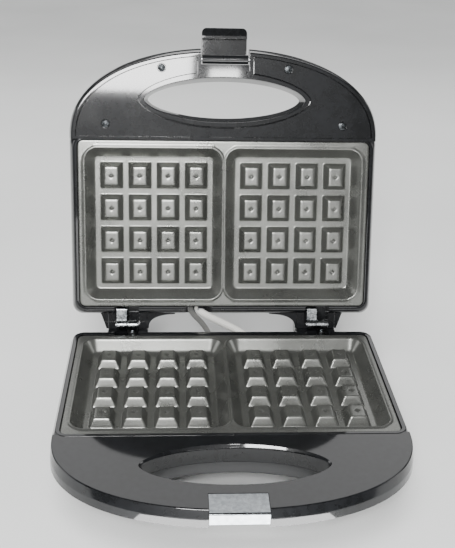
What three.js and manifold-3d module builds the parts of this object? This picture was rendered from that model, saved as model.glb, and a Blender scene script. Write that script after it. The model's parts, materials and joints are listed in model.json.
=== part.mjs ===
// Two-slice waffle maker: a base and a hinged lid, each a black moulded shell around a cast cooking plate.
// Millimetres, +Z up, front towards -Y, +X to the right. The lid stands open on its hinge stop.
// Every part is drawn with the lid closed, with X and Y measured from the middle of the cooking plates and
// Z from the parting plane, where the two plates meet. Groups then lift the base and turn the lid open.

import * as THREE from "three";
import { mergeVertices } from "three/addons/utils/BufferGeometryUtils.js";
import Module from "manifold-3d";

// ---- Driving dimensions ----

const PARTING_HEIGHT = 46; // parting plane above the table
const OPEN_ANGLE = 105.16; // lid from closed to its stop, degrees
const HINGE_Y = 80.1;
const HINGE_Z = 0.5;
const GAP = 0.3; // clearance between touching parts
const WALL = 2.6; // moulded shells

const PLATE_HALF_X = 113.2;
const PLATE_HALF_Y = 65.3;
const PLATE_CORNER = 5;
const PLATE_FACE = -0.3; // top of the bead that meets the other plate
const FLANGE_FACE = -1;
const WELL_CENTRE_X = 54.61;
const WELL_FLOOR = -9.3;
const FLOOR_HALF_X = 46.4;
const FLOOR_HALF_Y = 52.6;
const FLOOR_CORNER = 4;
const WELL_WALL_RUN = 6.6; // sideways run of the sloping well wall
const CAST = 2.8; // cast plate thickness
const STUD_PITCH_X = 22;
const STUD_PITCH_Y = 25.25;
const STUD_TOP = -2.3;
const STUD_BASE_HALF = [8.75, 10.25];
const STUD_TOP_HALF = [5.2, 7];
const STUDS_PER_SIDE = 4;
const PLATE_UNDERSIDE = WELL_FLOOR - CAST;

const TRAY_HALF_X = 116.5; // shell lip round the plate
const TRAY_FRONT = -68;
const TRAY_BACK = 69.5;
const EAR_HALF_X = 117.6; // widest point of the D-shaped handle front
const DECK_REACH = 68.5; // from the ears to the front edge of the base deck
const SKIRT_BOTTOM = -13.5;
const BASE_BOTTOM = -40;
const LID_TOP = 37;

const GRIP_Y = -97.2; // middle of the finger openings
const GRIP_HALF = [60, 18.4];
const LATCH_HALF_X = 17.6;
const LATCH_Y = -127;
const LATCH_Z = 4.5;
const LATCH_ANGLE = 90; // latch from hooked to flipped out, degrees
const KNUCKLE_RADIUS = 3.4;
const PIN_RADIUS = 1.6;

// ---- Finishes ----

const FINISH = {
  gloss: { color: 0x0c0d0e, roughness: 0.18, metalness: 0 },
  matt: { color: 0x1b1c1d, roughness: 0.6, metalness: 0 },
  nonStick: { color: 0x55564f, roughness: 0.38, metalness: 0.4 },
  zinc: { color: 0xb9bcbd, roughness: 0.3, metalness: 1 },
  steel: { color: 0x9b9c9e, roughness: 0.35, metalness: 1 },
  aluminised: { color: 0xa8abae, roughness: 0.45, metalness: 1 },
  chromed: { color: 0xc3c7c9, roughness: 0.12, metalness: 0.9 },
  sleeve: { color: 0xd8d6cb, roughness: 0.75, metalness: 0 },
  darkSleeve: { color: 0x4a4a48, roughness: 0.8, metalness: 0 },
  rubber: { color: 0x151515, roughness: 0.9, metalness: 0 },
  ceramic: { color: 0xe6e2d8, roughness: 0.6, metalness: 0 },
  redLens: { color: 0x8c1712, roughness: 0.2, metalness: 0 },
  greenLens: { color: 0x1a6b34, roughness: 0.2, metalness: 0 },
};

// ---- Solids ----

const wasm = await Module();
wasm.setup();

// A closed three.js geometry as a solid that can be joined and cut.
function solid(geometry) {
  const bare = geometry.index ? geometry.toNonIndexed() : geometry.clone();
  bare.deleteAttribute("normal");
  bare.deleteAttribute("uv");
  const merged = mergeVertices(bare, 1e-4);
  return new wasm.Manifold(
    new wasm.Mesh({
      numProp: 3,
      vertProperties: new Float32Array(merged.attributes.position.array),
      triVerts: new Uint32Array(merged.index.array),
    }),
  );
}

// A solid's surface as a three.js geometry.
function surface(body) {
  const mesh = body.getMesh();
  const geometry = new THREE.BufferGeometry();
  geometry.setAttribute("position", new THREE.BufferAttribute(mesh.vertProperties, 3));
  geometry.setIndex(new THREE.BufferAttribute(mesh.triVerts, 1));
  geometry.computeVertexNormals();
  return geometry;
}

const BOTH = [-1, 1]; // left and right
const join = (...bodies) => bodies.reduce((all, body) => all.add(body));
const cut = (body, ...cutters) => cutters.reduce((rest, cutter) => rest.subtract(cutter), body);

function block(x0, x1, y0, y1, z0, z1) {
  const geometry = new THREE.BoxGeometry(x1 - x0, y1 - y0, z1 - z0);
  return solid(geometry.translate((x0 + x1) / 2, (y0 + y1) / 2, (z0 + z1) / 2));
}

// A round bar from z0 to z1, standing up.
function rod(x, y, z0, z1, radius, sides = 24, topRadius = radius) {
  const geometry = new THREE.CylinderGeometry(topRadius, radius, z1 - z0, sides);
  return solid(geometry.rotateX(Math.PI / 2).translate(x, y, (z0 + z1) / 2));
}

// A round bar from x0 to x1, lying across the machine.
function crossRod(x0, x1, y, z, radius, sides = 24) {
  const geometry = new THREE.CylinderGeometry(radius, radius, x1 - x0, sides);
  return solid(geometry.rotateZ(Math.PI / 2).translate((x0 + x1) / 2, y, z));
}

// A shape drawn in side view (Y, Z) and pulled from x0 to x1.
function profile(points, x0, x1) {
  const shape = new THREE.Shape(points.map(([y, z]) => new THREE.Vector2(y, z)));
  const geometry = new THREE.ExtrudeGeometry(shape, { depth: x1 - x0, bevelEnabled: false });
  const axes = new THREE.Matrix4().makeBasis(
    new THREE.Vector3(0, 1, 0),
    new THREE.Vector3(0, 0, 1),
    new THREE.Vector3(1, 0, 0),
  );
  return solid(geometry.applyMatrix4(axes).translate(x0, 0, 0));
}

// A shape drawn from above (X, Y) and raised from z0 to z1.
function raised(points, z0, z1) {
  const shape = new THREE.Shape(points.map(([x, y]) => new THREE.Vector2(x, y)));
  const geometry = new THREE.ExtrudeGeometry(shape, { depth: z1 - z0, bevelEnabled: false });
  return solid(geometry.translate(0, 0, z0));
}

// A shape raised through several levels, each [z, half width, half depth], about a middle line y.
// The shape itself has the size [half width, half depth] given as size.
function loft(shape, size, middleY, levels) {
  const steps = levels.length - 1;
  const geometry = new THREE.ExtrudeGeometry(shape, { depth: steps, steps, bevelEnabled: false });
  const at = geometry.attributes.position;
  for (let i = 0; i < at.count; i++) {
    const [z, halfX, halfY] = levels[Math.round(at.getZ(i))];
    at.setXYZ(i, (at.getX(i) * halfX) / size[0], middleY + ((at.getY(i) - middleY) * halfY) / size[1], z);
  }
  return solid(geometry);
}

const inset = (levels, amount) => levels.map(([z, halfX, halfY]) => [z, halfX - amount, halfY - amount]);

// ---- Outlines ----

function roundedRectangle(halfX, halfY, radius, middleX = 0, middleY = 0, arcSteps = 3) {
  const points = [];
  const corners = [[1, 1], [-1, 1], [-1, -1], [1, -1]];
  corners.forEach(([sx, sy], quarter) => {
    for (let i = 0; i <= arcSteps; i++) {
      const angle = ((quarter + i / arcSteps) * Math.PI) / 2;
      const x = middleX + sx * (halfX - radius) + radius * Math.cos(angle);
      const y = middleY + sy * (halfY - radius) + radius * Math.sin(angle);
      points.push(new THREE.Vector2(x, y));
    }
  });
  return new THREE.Shape(points);
}

// The handle front: half of the curve |x/a|^n + |y/b|^n = 1 below the ear line, closed across the back.
const FRONT_POWER = 2.2;
function frontOutline(halfX, reach, steps = 26) {
  const points = [new THREE.Vector2(halfX, TRAY_FRONT + 2), new THREE.Vector2(-halfX, TRAY_FRONT + 2)];
  for (let i = 0; i <= steps; i++) {
    const angle = (Math.PI * i) / steps;
    const cos = Math.cos(angle);
    const x = -halfX * Math.sign(cos) * Math.abs(cos) ** (2 / FRONT_POWER);
    const y = TRAY_FRONT - reach * Math.max(0, Math.sin(angle)) ** (2 / FRONT_POWER);
    points.push(new THREE.Vector2(x, y));
  }
  return new THREE.Shape(points);
}

// The finger opening: an ellipse drawn out to a soft point at each end, y = b (1 - (x/a)^2)^0.6.
const GRIP_POWER = 0.6;
function gripOutline(halfX, halfY, middleY, steps = 12) {
  const points = [];
  for (let side = 1; side >= -1; side -= 2) {
    for (let i = 0; i < steps; i++) {
      const x = side * halfX * Math.cos((Math.PI * i) / steps);
      const y = middleY + side * halfY * Math.max(0, 1 - (x / halfX) ** 2) ** GRIP_POWER;
      points.push(new THREE.Vector2(x, y));
    }
  }
  return new THREE.Shape(points);
}

const TRAY_MIDDLE_Y = (TRAY_FRONT + TRAY_BACK) / 2;
const TRAY_HALF_Y = (TRAY_BACK - TRAY_FRONT) / 2;
const TRAY_CORNER = 8;

function trayLoft(levels) {
  const shape = roundedRectangle(TRAY_HALF_X, TRAY_HALF_Y, TRAY_CORNER, 0, TRAY_MIDDLE_Y);
  return loft(shape, [TRAY_HALF_X, TRAY_HALF_Y], TRAY_MIDDLE_Y, levels);
}

function frontLoft(levels) {
  return loft(frontOutline(EAR_HALF_X, DECK_REACH), [EAR_HALF_X, DECK_REACH], TRAY_FRONT, levels);
}

function gripLoft(levels, middleY = GRIP_Y) {
  return loft(gripOutline(...GRIP_HALF, middleY), GRIP_HALF, middleY, levels);
}

// ---- Cooking plates ----

// A well's space from one height to another, with its sloping walls moved out by extra.
function wellLoft(side, extra, lowZ, highZ) {
  const shape = roundedRectangle(FLOOR_HALF_X, FLOOR_HALF_Y, FLOOR_CORNER, 0, 0, 3);
  const level = (z) => {
    const run = extra + (WELL_WALL_RUN * (z - WELL_FLOOR)) / (FLANGE_FACE - WELL_FLOOR);
    return [z, FLOOR_HALF_X + run, FLOOR_HALF_Y + run];
  };
  const pocket = loft(shape, [FLOOR_HALF_X, FLOOR_HALF_Y], 0, [level(lowZ), level(highZ)]);
  return pocket.translate([side * WELL_CENTRE_X, 0, 0]);
}

function stud(x, y) {
  const [halfX, halfY] = STUD_BASE_HALF;
  const corners = [[1, 1], [-1, 1], [-1, -1], [1, -1]];
  const shape = new THREE.Shape(corners.map(([sx, sy]) => new THREE.Vector2(sx * halfX, sy * halfY)));
  const pyramid = loft(shape, STUD_BASE_HALF, 0, [
    [WELL_FLOOR - 0.5, halfX, halfY],
    [STUD_TOP, ...STUD_TOP_HALF],
  ]);
  return pyramid.translate([x, y, 0]);
}

// Cast plate: a flange with two pans, a low bead round each well and a grid of studs on each floor.
function cookingPlate() {
  const underside = FLANGE_FACE - CAST;
  const flangeShape = roundedRectangle(PLATE_HALF_X, PLATE_HALF_Y, PLATE_CORNER);
  const flange = loft(flangeShape, [1, 1], 0, [[underside, 1, 1], [FLANGE_FACE, 1, 1]]);
  const beadWidth = 1.5;
  const pans = BOTH.map((side) => wellLoft(side, CAST, WELL_FLOOR - CAST, underside + 0.5));
  const beads = BOTH.map((side) => wellLoft(side, beadWidth, FLANGE_FACE - 0.5, PLATE_FACE));
  const wells = BOTH.map((side) => wellLoft(side, 0, WELL_FLOOR, PLATE_FACE + 1));
  const studs = [];
  for (const side of BOTH) {
    for (let column = 0; column < STUDS_PER_SIDE; column++) {
      for (let row = 0; row < STUDS_PER_SIDE; row++) {
        const x = side * WELL_CENTRE_X + (column - (STUDS_PER_SIDE - 1) / 2) * STUD_PITCH_X;
        const y = (row - (STUDS_PER_SIDE - 1) / 2) * STUD_PITCH_Y;
        studs.push(stud(x, y));
      }
    }
  }
  return join(cut(join(flange, ...pans, ...beads), ...wells), ...studs);
}

// ---- Hinge lobes ----

const LOBE_X = [60, 92];
const LEAF_X = [66.5, 86]; // space for the leaves inside each lobe
const LOBE_SLOPE = Math.tan(THREE.MathUtils.degToRad(90 - OPEN_ANGLE / 2));
const LOBE_ROOT = TRAY_BACK - 6;
const LOBE_BACK = 93;
const LOBE_TOP = -7;
const LOBE_LOW = -27;
const STOP_CLEARANCE = 0.25;

const across = (side, [low, high]) => (side > 0 ? [low, high] : [-high, -low]);

// Base lobe in side view, with Z measured from the hinge axis. Its slanted back is the open stop: the base's
// and the lid's slants lie at half the opening angle to the parting plane and meet when the lid is open.
function lobe(side, grow = 0) {
  const slantY = (z) => HINGE_Y - z * LOBE_SLOPE - STOP_CLEARANCE + grow;
  const back = LOBE_BACK + grow;
  const low = LOBE_LOW - grow;
  const top = LOBE_TOP + grow;
  const slantEnd = -(back - grow + STOP_CLEARANCE - HINGE_Y) / LOBE_SLOPE;
  const [x0, x1] = across(side, LOBE_X);
  const outline = [
    [LOBE_ROOT - grow, low],
    [back - 6, low],
    [back, low + 5],
    [back, slantEnd],
    [slantY(top), top],
    [LOBE_ROOT - grow, top],
  ];
  return profile(outline, x0 - grow, x1 + grow);
}

// The hollow inside a lobe, below the leaves.
function lobeHollow(side) {
  const [x0, x1] = across(side, LOBE_X);
  return block(x0 + WALL, x1 - WALL, LOBE_ROOT - 1, LOBE_BACK - 7, LOBE_LOW + WALL, -17.5);
}

// Webs that spread a lid lobe into the lid's rear wall: a wide fillet inboard and a slant outboard.
const WEB_ROOT = 70.8;
const WEB_Z = [8, 20];
const WEB_END = 85; // short of the slant, where the base's lobe begins
const INNER_WEB = [
  [61, WEB_ROOT], [61, WEB_END], [59.2, WEB_END], [58.2, 82.6], [56, 79.6], [53, 77], [49, 75],
  [44, 73.8], [38, 73.2], [38, WEB_ROOT],
];
const OUTER_WEB = [[91, WEB_ROOT], [99, WEB_ROOT], [97, 73.5], [93, WEB_END], [91, WEB_END]];

function webs(side) {
  const turned = (outline) => outline.map(([x, y]) => [side * x, y]);
  return join(raised(turned(INNER_WEB), ...WEB_Z), raised(turned(OUTER_WEB), ...WEB_Z));
}

// Room for the leaves in a lobe, and for the knuckles to turn in.
function leafSpace(side) {
  const [x0, x1] = across(side, LEAF_X);
  return join(
    block(x0, x1, LOBE_ROOT - 8, 81.6, -16, 16).translate([0, 0, HINGE_Z]),
    crossRod(x0, x1, HINGE_Y, HINGE_Z, KNUCKLE_RADIUS + 1.2, 16),
  );
}

const liftToHinge = (body) => body.translate([0, 0, HINGE_Z]);
const turnToLid = (body) => body.rotate([0, 180, 0]).translate([0, 0, HINGE_Z]);

// ---- Base ----

// The deck runs down to the front, so its upper edge falls from the ears to the crease.
const DECK_CREASE = -3.2;
const DECK_EDGE = -0.6;
const SKIRT_HALF_X = 119;
const SKIRT_REACH = 74;
const CHAMFER_BOTTOM = -8.3;
const TRAY_LEVELS = [
  [SKIRT_BOTTOM, TRAY_HALF_X + 3.5, TRAY_HALF_Y + 3.5],
  [-6, TRAY_HALF_X + 2.4, TRAY_HALF_Y + 2.4],
  [PLATE_FACE, TRAY_HALF_X, TRAY_HALF_Y],
];
const DECK_LEVELS = [
  [SKIRT_BOTTOM, SKIRT_HALF_X, SKIRT_REACH],
  [CHAMFER_BOTTOM, SKIRT_HALF_X - 0.3, SKIRT_REACH - 0.8],
  [DECK_EDGE, EAR_HALF_X, DECK_REACH],
];
const GRIP_BASE = [59.5, 18.4];
const GRIP_WALL = [61.9, 20.8]; // outside of the wall round the base's finger opening
const BEYOND_FRONT = -150; // clear of the front edge, for cutters
const CATCH_HALF_X = 18;
const CATCH_BACK = -124;
const CATCH_FRONT = -142.4;
const CATCH_TOP = -2.8;
const CATCH_BOTTOM = -10.9;
const CATCH_THICK = 1.4;
const OUTLET_Z = -24; // round hole for the mains cord

// Everything above a plane through the ear line that falls towards the front.
function aboveDeck() {
  const fall = (DECK_EDGE - DECK_CREASE) / DECK_REACH;
  const front = TRAY_FRONT - DECK_REACH - 20;
  const frontZ = DECK_EDGE - fall * (TRAY_FRONT - front);
  return profile([[TRAY_FRONT, DECK_EDGE], [TRAY_FRONT, 5], [front, 5], [front, frontZ]], -140, 140);
}

function plateSpace(extra, lowZ, highZ) {
  const shape = roundedRectangle(PLATE_HALF_X + extra, PLATE_HALF_Y + extra, PLATE_CORNER + extra);
  return loft(shape, [1, 1], 0, [[lowZ, 1, 1], [highZ, 1, 1]]);
}

// Boss for a cover screw: a post with a blind hole that opens at one end.
function screwPost(x, y, z0, z1, radius, hole, holeZ) {
  return cut(rod(x, y, z0, z1, radius, 12), rod(x, y, ...holeZ, hole, 12));
}

const BASE_SCREWS = [[-104, 58], [104, 58], [-86, -96], [86, -96]];
const COVER_TOP = SKIRT_BOTTOM - GAP;
const WIRE_HOLES = [[19, -9, 3.8], [-10, -9, 3]]; // x, z and radius of the lead holes in the back wall
const OUTLET_X = 40;
const FEET = [[-88, 47], [88, 47], [-84, -50], [84, -50]];
const COVER_LEVELS = [
  [BASE_BOTTOM, 104, 57],
  [BASE_BOTTOM + 6, 110, 63],
  [-24, 114, 66.5],
  [COVER_TOP, 116, 67.5],
];
const FRONT_FLOOR = -23; // underside of the cover below the handle front
const ELEMENT_Z = -15.8;
const REFLECTOR_Z = -24;
const PLATE_SCREWS = [[-60, 0], [60, 0]];

// The inside of a three-level shell: open at the bottom, closed at topZ.
function openBelow(levels, topZ) {
  const [low, middle, top] = inset(levels, WALL);
  return [[SKIRT_BOTTOM - 1, low[1], low[2]], middle, [topZ, top[1], top[2]]];
}

function baseHousing() {
  const outer = cut(join(trayLoft(TRAY_LEVELS), frontLoft(DECK_LEVELS)), aboveDeck());
  const underTray = trayLoft(openBelow(TRAY_LEVELS, PLATE_FACE - WALL));
  const underDeck = frontLoft(openBelow(DECK_LEVELS, DECK_CREASE - WALL - 0.8));
  const bulkhead = block(-PLATE_HALF_X, PLATE_HALF_X, TRAY_FRONT + 0.2, TRAY_FRONT + 2.1, SKIRT_BOTTOM, -2);
  const gripWall = gripLoft([[SKIRT_BOTTOM, ...GRIP_WALL], [DECK_CREASE - 1, ...GRIP_WALL]]);
  const grip = gripLoft([[SKIRT_BOTTOM - 1, ...GRIP_BASE], [5, ...GRIP_BASE]]);
  const postHole = [SKIRT_BOTTOM - 1, -7.5];
  const posts = BASE_SCREWS.map(([x, y]) => screwPost(x, y, SKIRT_BOTTOM, -5.5, 4, 1.3, postHole));
  const lobes = BOTH.map((side) => liftToHinge(lobe(side)));
  const shell = join(cut(outer, underTray, underDeck), bulkhead, gripWall, ...posts, ...lobes);
  const seatX = CATCH_HALF_X + GAP;
  const seatZ = CATCH_TOP - CATCH_THICK - GAP;
  const seatFront = CATCH_FRONT + CATCH_THICK + GAP;
  const catchSeat = block(-seatX, seatX, BEYOND_FRONT, CATCH_BACK + GAP, seatZ, 5);
  const catchFace = block(-seatX, seatX, BEYOND_FRONT, seatFront, -20, 5);
  const hookNotch = block(-seatX, seatX, BEYOND_FRONT, seatFront + 3, -20, CATCH_BOTTOM);
  const catchFloor = block(-seatX - WALL, seatX + WALL, seatFront, CATCH_BACK + 3, -9, seatZ);
  const opening = plateSpace(GAP + 0.1, -30, 5);
  const wireHoles = WIRE_HOLES.map(([x, z, radius]) => backHole(x, z, radius));
  const hollows = BOTH.map((side) => liftToHinge(lobeHollow(side)));
  const holes = [opening, grip, ...BOTH.map(leafSpace), ...hollows, ...wireHoles];
  return cut(join(cut(shell, catchSeat, catchFace, hookNotch), catchFloor), ...holes);
}

// A round hole through the back wall.
function backHole(x, z, radius, y0 = 60, y1 = 90) {
  const geometry = new THREE.CylinderGeometry(radius, radius, y1 - y0, 20);
  return solid(geometry.translate(x, (y0 + y1) / 2, z));
}

function baseCover() {
  const [floor, , , rim] = COVER_LEVELS;
  const bowlInside = inset(COVER_LEVELS, WALL);
  bowlInside[0][0] = floor[0] + WALL;
  bowlInside[3][0] = rim[0] + 1;
  const bowl = cut(trayLoft(COVER_LEVELS), trayLoft(bowlInside));
  const handleLevels = [[FRONT_FLOOR, 106, 59], [FRONT_FLOOR + 3, 110, 64], [COVER_TOP, 113, 67]];
  const handleInside = inset(handleLevels, WALL);
  handleInside[0][0] = FRONT_FLOOR + WALL;
  handleInside[2][0] = COVER_TOP + 1;
  const handle = cut(frontLoft(handleLevels), frontLoft(handleInside));
  const bowlSpace = trayLoft(inset(COVER_LEVELS, 0.1));
  const gripWall = gripLoft([[FRONT_FLOOR, ...GRIP_WALL], [COVER_TOP, ...GRIP_WALL]]);
  const grip = gripLoft([[BASE_BOTTOM, ...GRIP_BASE], [5, ...GRIP_BASE]]);
  const postFoot = (y) => (y > 0 ? BASE_BOTTOM : FRONT_FLOOR) + 1;
  const posts = BASE_SCREWS.map(([x, y]) => rod(x, y, postFoot(y), COVER_TOP, 4, 12));
  const bodies = join(bowl, cut(handle, bowlSpace), cut(gripWall, bowlSpace), ...posts);
  const lobes = BOTH.map((side) => liftToHinge(lobe(side, GAP)));
  const screwHoles = BASE_SCREWS.flatMap(([x, y]) => [
    rod(x, y, BASE_BOTTOM - 5, COVER_TOP + 1, 1.8, 12),
    rod(x, y, BASE_BOTTOM - 5, postFoot(y) + 3, 3.3, 12),
  ]);
  const outlet = backHole(OUTLET_X, OUTLET_Z, 4.2, 55, 75);
  const hookRoom = block(-21, 21, BEYOND_FRONT, -128, -30, COVER_TOP + 1);
  const ventTop = BASE_BOTTOM + WALL + 1;
  const vents = [-24, -12, 0, 12, 24].map((x) => block(x - 2, x + 2, -22, 22, BASE_BOTTOM - 5, ventTop));
  const footHoles = FEET.map(([x, y]) => rod(x, y, BASE_BOTTOM - 5, ventTop, 2.2, 12));
  return cut(bodies, grip, hookRoom, outlet, ...lobes, ...screwHoles, ...vents, ...footHoles);
}

// A folded bright plate let into the front edge, which the latch hooks under.
function catchPlate() {
  const x = CATCH_HALF_X;
  const top = block(-x, x, CATCH_FRONT, CATCH_BACK, CATCH_TOP - CATCH_THICK, CATCH_TOP);
  const front = block(-x, x, CATCH_FRONT, CATCH_FRONT + CATCH_THICK, CATCH_BOTTOM, CATCH_TOP);
  return join(top, front);
}

function foot(x, y) {
  const pad = rod(x, y, -PARTING_HEIGHT, BASE_BOTTOM - GAP, 8.5, 16, 9.5);
  const stem = rod(x, y, BASE_BOTTOM - GAP - 0.5, -36, 1.9, 8);
  return join(pad, stem);
}

// Screw pointing up (+Z) from its head at z, with a plain driver slot.
function screw(x, y, z, length, headRadius = 2.9, shank = 1.1) {
  const head = rod(x, y, z, z + 1.8, headRadius, 12);
  const stem = rod(x, y, z + 1.5, z + length, shank, 6);
  const recess = block(x - 0.5, x + 0.5, y - 1.8, y + 1.8, z - 1, z + 0.9);
  return cut(join(head, stem), recess);
}

// ---- Heating ----

// A tubular element bent into a long loop round the well floors, with its two ends turned down to the wiring.
function heatingElement() {
  const radius = 3.2;
  const z = ELEMENT_Z;
  const halfX = 88;
  const halfY = 32;
  const bend = 24;
  const path = new THREE.CurvePath();
  const point = (x, y, height = z) => new THREE.Vector3(x, y, height);
  const endX = 12;
  const endZ = z - 7;
  const route = [
    point(endX, halfY, endZ),
    point(endX, halfY),
    point(halfX, halfY),
    point(halfX, -halfY),
    point(-halfX, -halfY),
    point(-halfX, halfY),
    point(-endX, halfY),
    point(-endX, halfY, endZ),
  ];
  let from = route[0];
  for (let i = 1; i < route.length - 1; i++) {
    const reach = i === 1 || i === route.length - 2 ? 6 : bend;
    const before = route[i].clone().lerp(route[i - 1], reach / route[i].distanceTo(route[i - 1]));
    const after = route[i].clone().lerp(route[i + 1], reach / route[i].distanceTo(route[i + 1]));
    if (before.distanceTo(from) > 0.01) path.add(new THREE.LineCurve3(from, before));
    path.add(new THREE.QuadraticBezierCurve3(before, route[i], after));
    from = after;
  }
  path.add(new THREE.LineCurve3(from, route[route.length - 1]));
  return solid(sweep(path, radius, 56, 6));
}

function sweep(path, radius, steps, sides) {
  const section = new THREE.Shape();
  const points = [];
  for (let i = 0; i < sides; i++) {
    const angle = (2 * Math.PI * i) / sides;
    points.push(new THREE.Vector2(radius * Math.cos(angle), radius * Math.sin(angle)));
  }
  section.setFromPoints(points);
  return new THREE.ExtrudeGeometry(section, { steps, extrudePath: path, bevelEnabled: false });
}

// Pressed sheet tray under the element, with a slot for the element's ends and a hole for the thermostat.
function reflector() {
  const levels = [[REFLECTOR_Z, 98, 50], [REFLECTOR_Z + 4, 104, 56]];
  const shape = roundedRectangle(104, 56, 10);
  const raise = (list) => loft(shape, [104, 56], 0, list);
  const tray = cut(raise(levels), raise([[REFLECTOR_Z + 0.8, 97.5, 49.5], [REFLECTOR_Z + 5, 104.4, 56.4]]));
  const ends = block(-18, 18, 26, 38, REFLECTOR_Z - 1, REFLECTOR_Z + 2);
  const window = rod(0, 0, REFLECTOR_Z - 1, REFLECTOR_Z + 2, 9, 20);
  const holes = PLATE_SCREWS.map(([x, y]) => rod(x, y, REFLECTOR_Z - 1, REFLECTOR_Z + 2, 1.8, 12));
  return cut(tray, ends, window, ...holes);
}

// ---- Lid, drawn closed ----

const LID_RIM = [
  [GAP, TRAY_HALF_X, TRAY_HALF_Y],
  [6, TRAY_HALF_X + 2.6, TRAY_HALF_Y + 2.6],
  [14, TRAY_HALF_X + 4, TRAY_HALF_Y + 4],
];
const LID_DOME = [
  [22, TRAY_HALF_X + 2.8, TRAY_HALF_Y + 2.8],
  [29, TRAY_HALF_X - 1.5, TRAY_HALF_Y - 1.5],
  [34, TRAY_HALF_X - 8, TRAY_HALF_Y - 8],
  [LID_TOP, TRAY_HALF_X - 18, TRAY_HALF_Y - 18],
];
const LID_FRONT = [
  [GAP, EAR_HALF_X, 64.5],
  [6, EAR_HALF_X + 1.8, 66.6],
  [14, EAR_HALF_X + 2.8, 68],
  [19, EAR_HALF_X + 0.5, 65.5],
  [22, EAR_HALF_X - 5, 59],
];
const LID_GRIP_Y = -96.4;
const COVER_TOP_Z = 3.2; // upper face of the handle cover
const COVER_REACH = 61.5;
const COVER_SCREWS = [[-48.5, -120], [48.5, -120], [-91.5, -77.5], [91.5, -77.5]];
const NOTCH_HALF_X = 18.6;
const NOTCH_BACK = -123.1; // rear of the notch the latch turns in
const PANEL_CUT = -114.8; // rear of the cut in the handle cover, over the notch and its floor
const LAMPS = [["red", -13], ["green", 13]];
const LAMP_Y = -36;

// A shell's inside: its levels moved in by the wall, open below and closed a wall's thickness under the top.
function hollowLevels(levels, openZ) {
  const last = levels.length - 1;
  return inset(levels, WALL).map(([z, halfX, halfY], i) => {
    if (i === 0) return [openZ, halfX, halfY];
    return [i === last ? z - WALL : z - (WALL * i) / (last + 3), halfX, halfY];
  });
}

function lidHousing() {
  const trayLevels = [...LID_RIM, ...LID_DOME];
  const shell = cut(
    join(trayLoft(trayLevels), frontLoft(LID_FRONT)),
    trayLoft(hollowLevels(trayLevels, -1)),
    frontLoft(hollowLevels(LID_FRONT, -1)),
  );
  const roof = 18;
  const wallX = TRAY_HALF_X - 1;
  const bulkhead = block(-wallX, wallX, TRAY_FRONT, TRAY_FRONT + 2.2, GAP, roof);
  const gripWall = gripLoft([[GAP, 65.4, 20.4], [21, 62, 16.6]], LID_GRIP_Y);
  const grip = gripLoft([[GAP - 1, 61.8, 16.8], [6, 61.5, 16.2], [23, 59.4, 14]], LID_GRIP_Y);
  const cheekX = NOTCH_HALF_X + 2.4;
  const latchBox = block(-cheekX, cheekX, -130, PANEL_CUT, GAP, 20);
  const notch = block(-NOTCH_HALF_X, NOTCH_HALF_X, BEYOND_FRONT, NOTCH_BACK, -1, 40);
  const postLow = COVER_TOP_Z + GAP;
  const posts = COVER_SCREWS.map(([x, y]) => screwPost(x, y, postLow, 20, 4, 1.3, [0, 13]));
  const lobes = BOTH.flatMap((side) => [turnToLid(lobe(side)), webs(side)]);
  const hollows = BOTH.map((side) => turnToLid(lobeHollow(side)));
  const leadNotch = block(-29.5, -9, 64, 90, -1, 14);
  const pinHole = crossRod(-cheekX - 1, cheekX + 1, LATCH_Y, LATCH_Z, PIN_RADIUS + 0.1, 16);
  const lampHoles = LAMPS.map(([, x]) => rod(x, LAMP_Y, 30, 40, 3.4, 16));
  const opening = plateSpace(GAP + 0.1, -5, 14);
  const seatSize = [EAR_HALF_X - 3.1, COVER_REACH + GAP];
  const seat = frontLoft([[-1, ...seatSize], [COVER_TOP_Z + GAP, ...seatSize]]);
  const seatBlock = block(-130, 130, BEYOND_FRONT, TRAY_FRONT - 0.1, -1, COVER_TOP_Z + GAP);
  const ring = join(gripWall, latchBox);
  const coverSeat = cut(seat.intersect(seatBlock), ring);
  const body = join(cut(join(shell, ...posts), coverSeat), bulkhead, ring, ...lobes);
  const holes = [notch, grip, leadNotch, pinHole, opening, ...lampHoles];
  return cut(body, ...holes, ...hollows, ...BOTH.map(leafSpace));
}

// The D-shaped inner panel that closes the handle from below, round the finger opening and the latch.
function handleCover() {
  const low = GAP + 0.2;
  const size = [EAR_HALF_X - 3.4, COVER_REACH];
  const panel = frontLoft([[low, ...size], [COVER_TOP_Z, ...size]]);
  const trayEdge = block(-130, 130, TRAY_FRONT - 0.4, -50, -5, 10);
  const opening = gripLoft([[-5, 65.8, 20.8], [10, 65.8, 20.8]], LID_GRIP_Y);
  const cheekX = NOTCH_HALF_X + 2.4 + GAP;
  const latchRoom = block(-cheekX, cheekX, BEYOND_FRONT, PANEL_CUT + GAP, -5, 10);
  const holes = COVER_SCREWS.flatMap(([x, y]) => [
    rod(x, y, -5, 10, 1.6, 12),
    rod(x, y, -5, low + 1.5, 3.2, 16),
  ]);
  return cut(panel, trayEdge, opening, latchRoom, ...holes);
}

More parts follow.
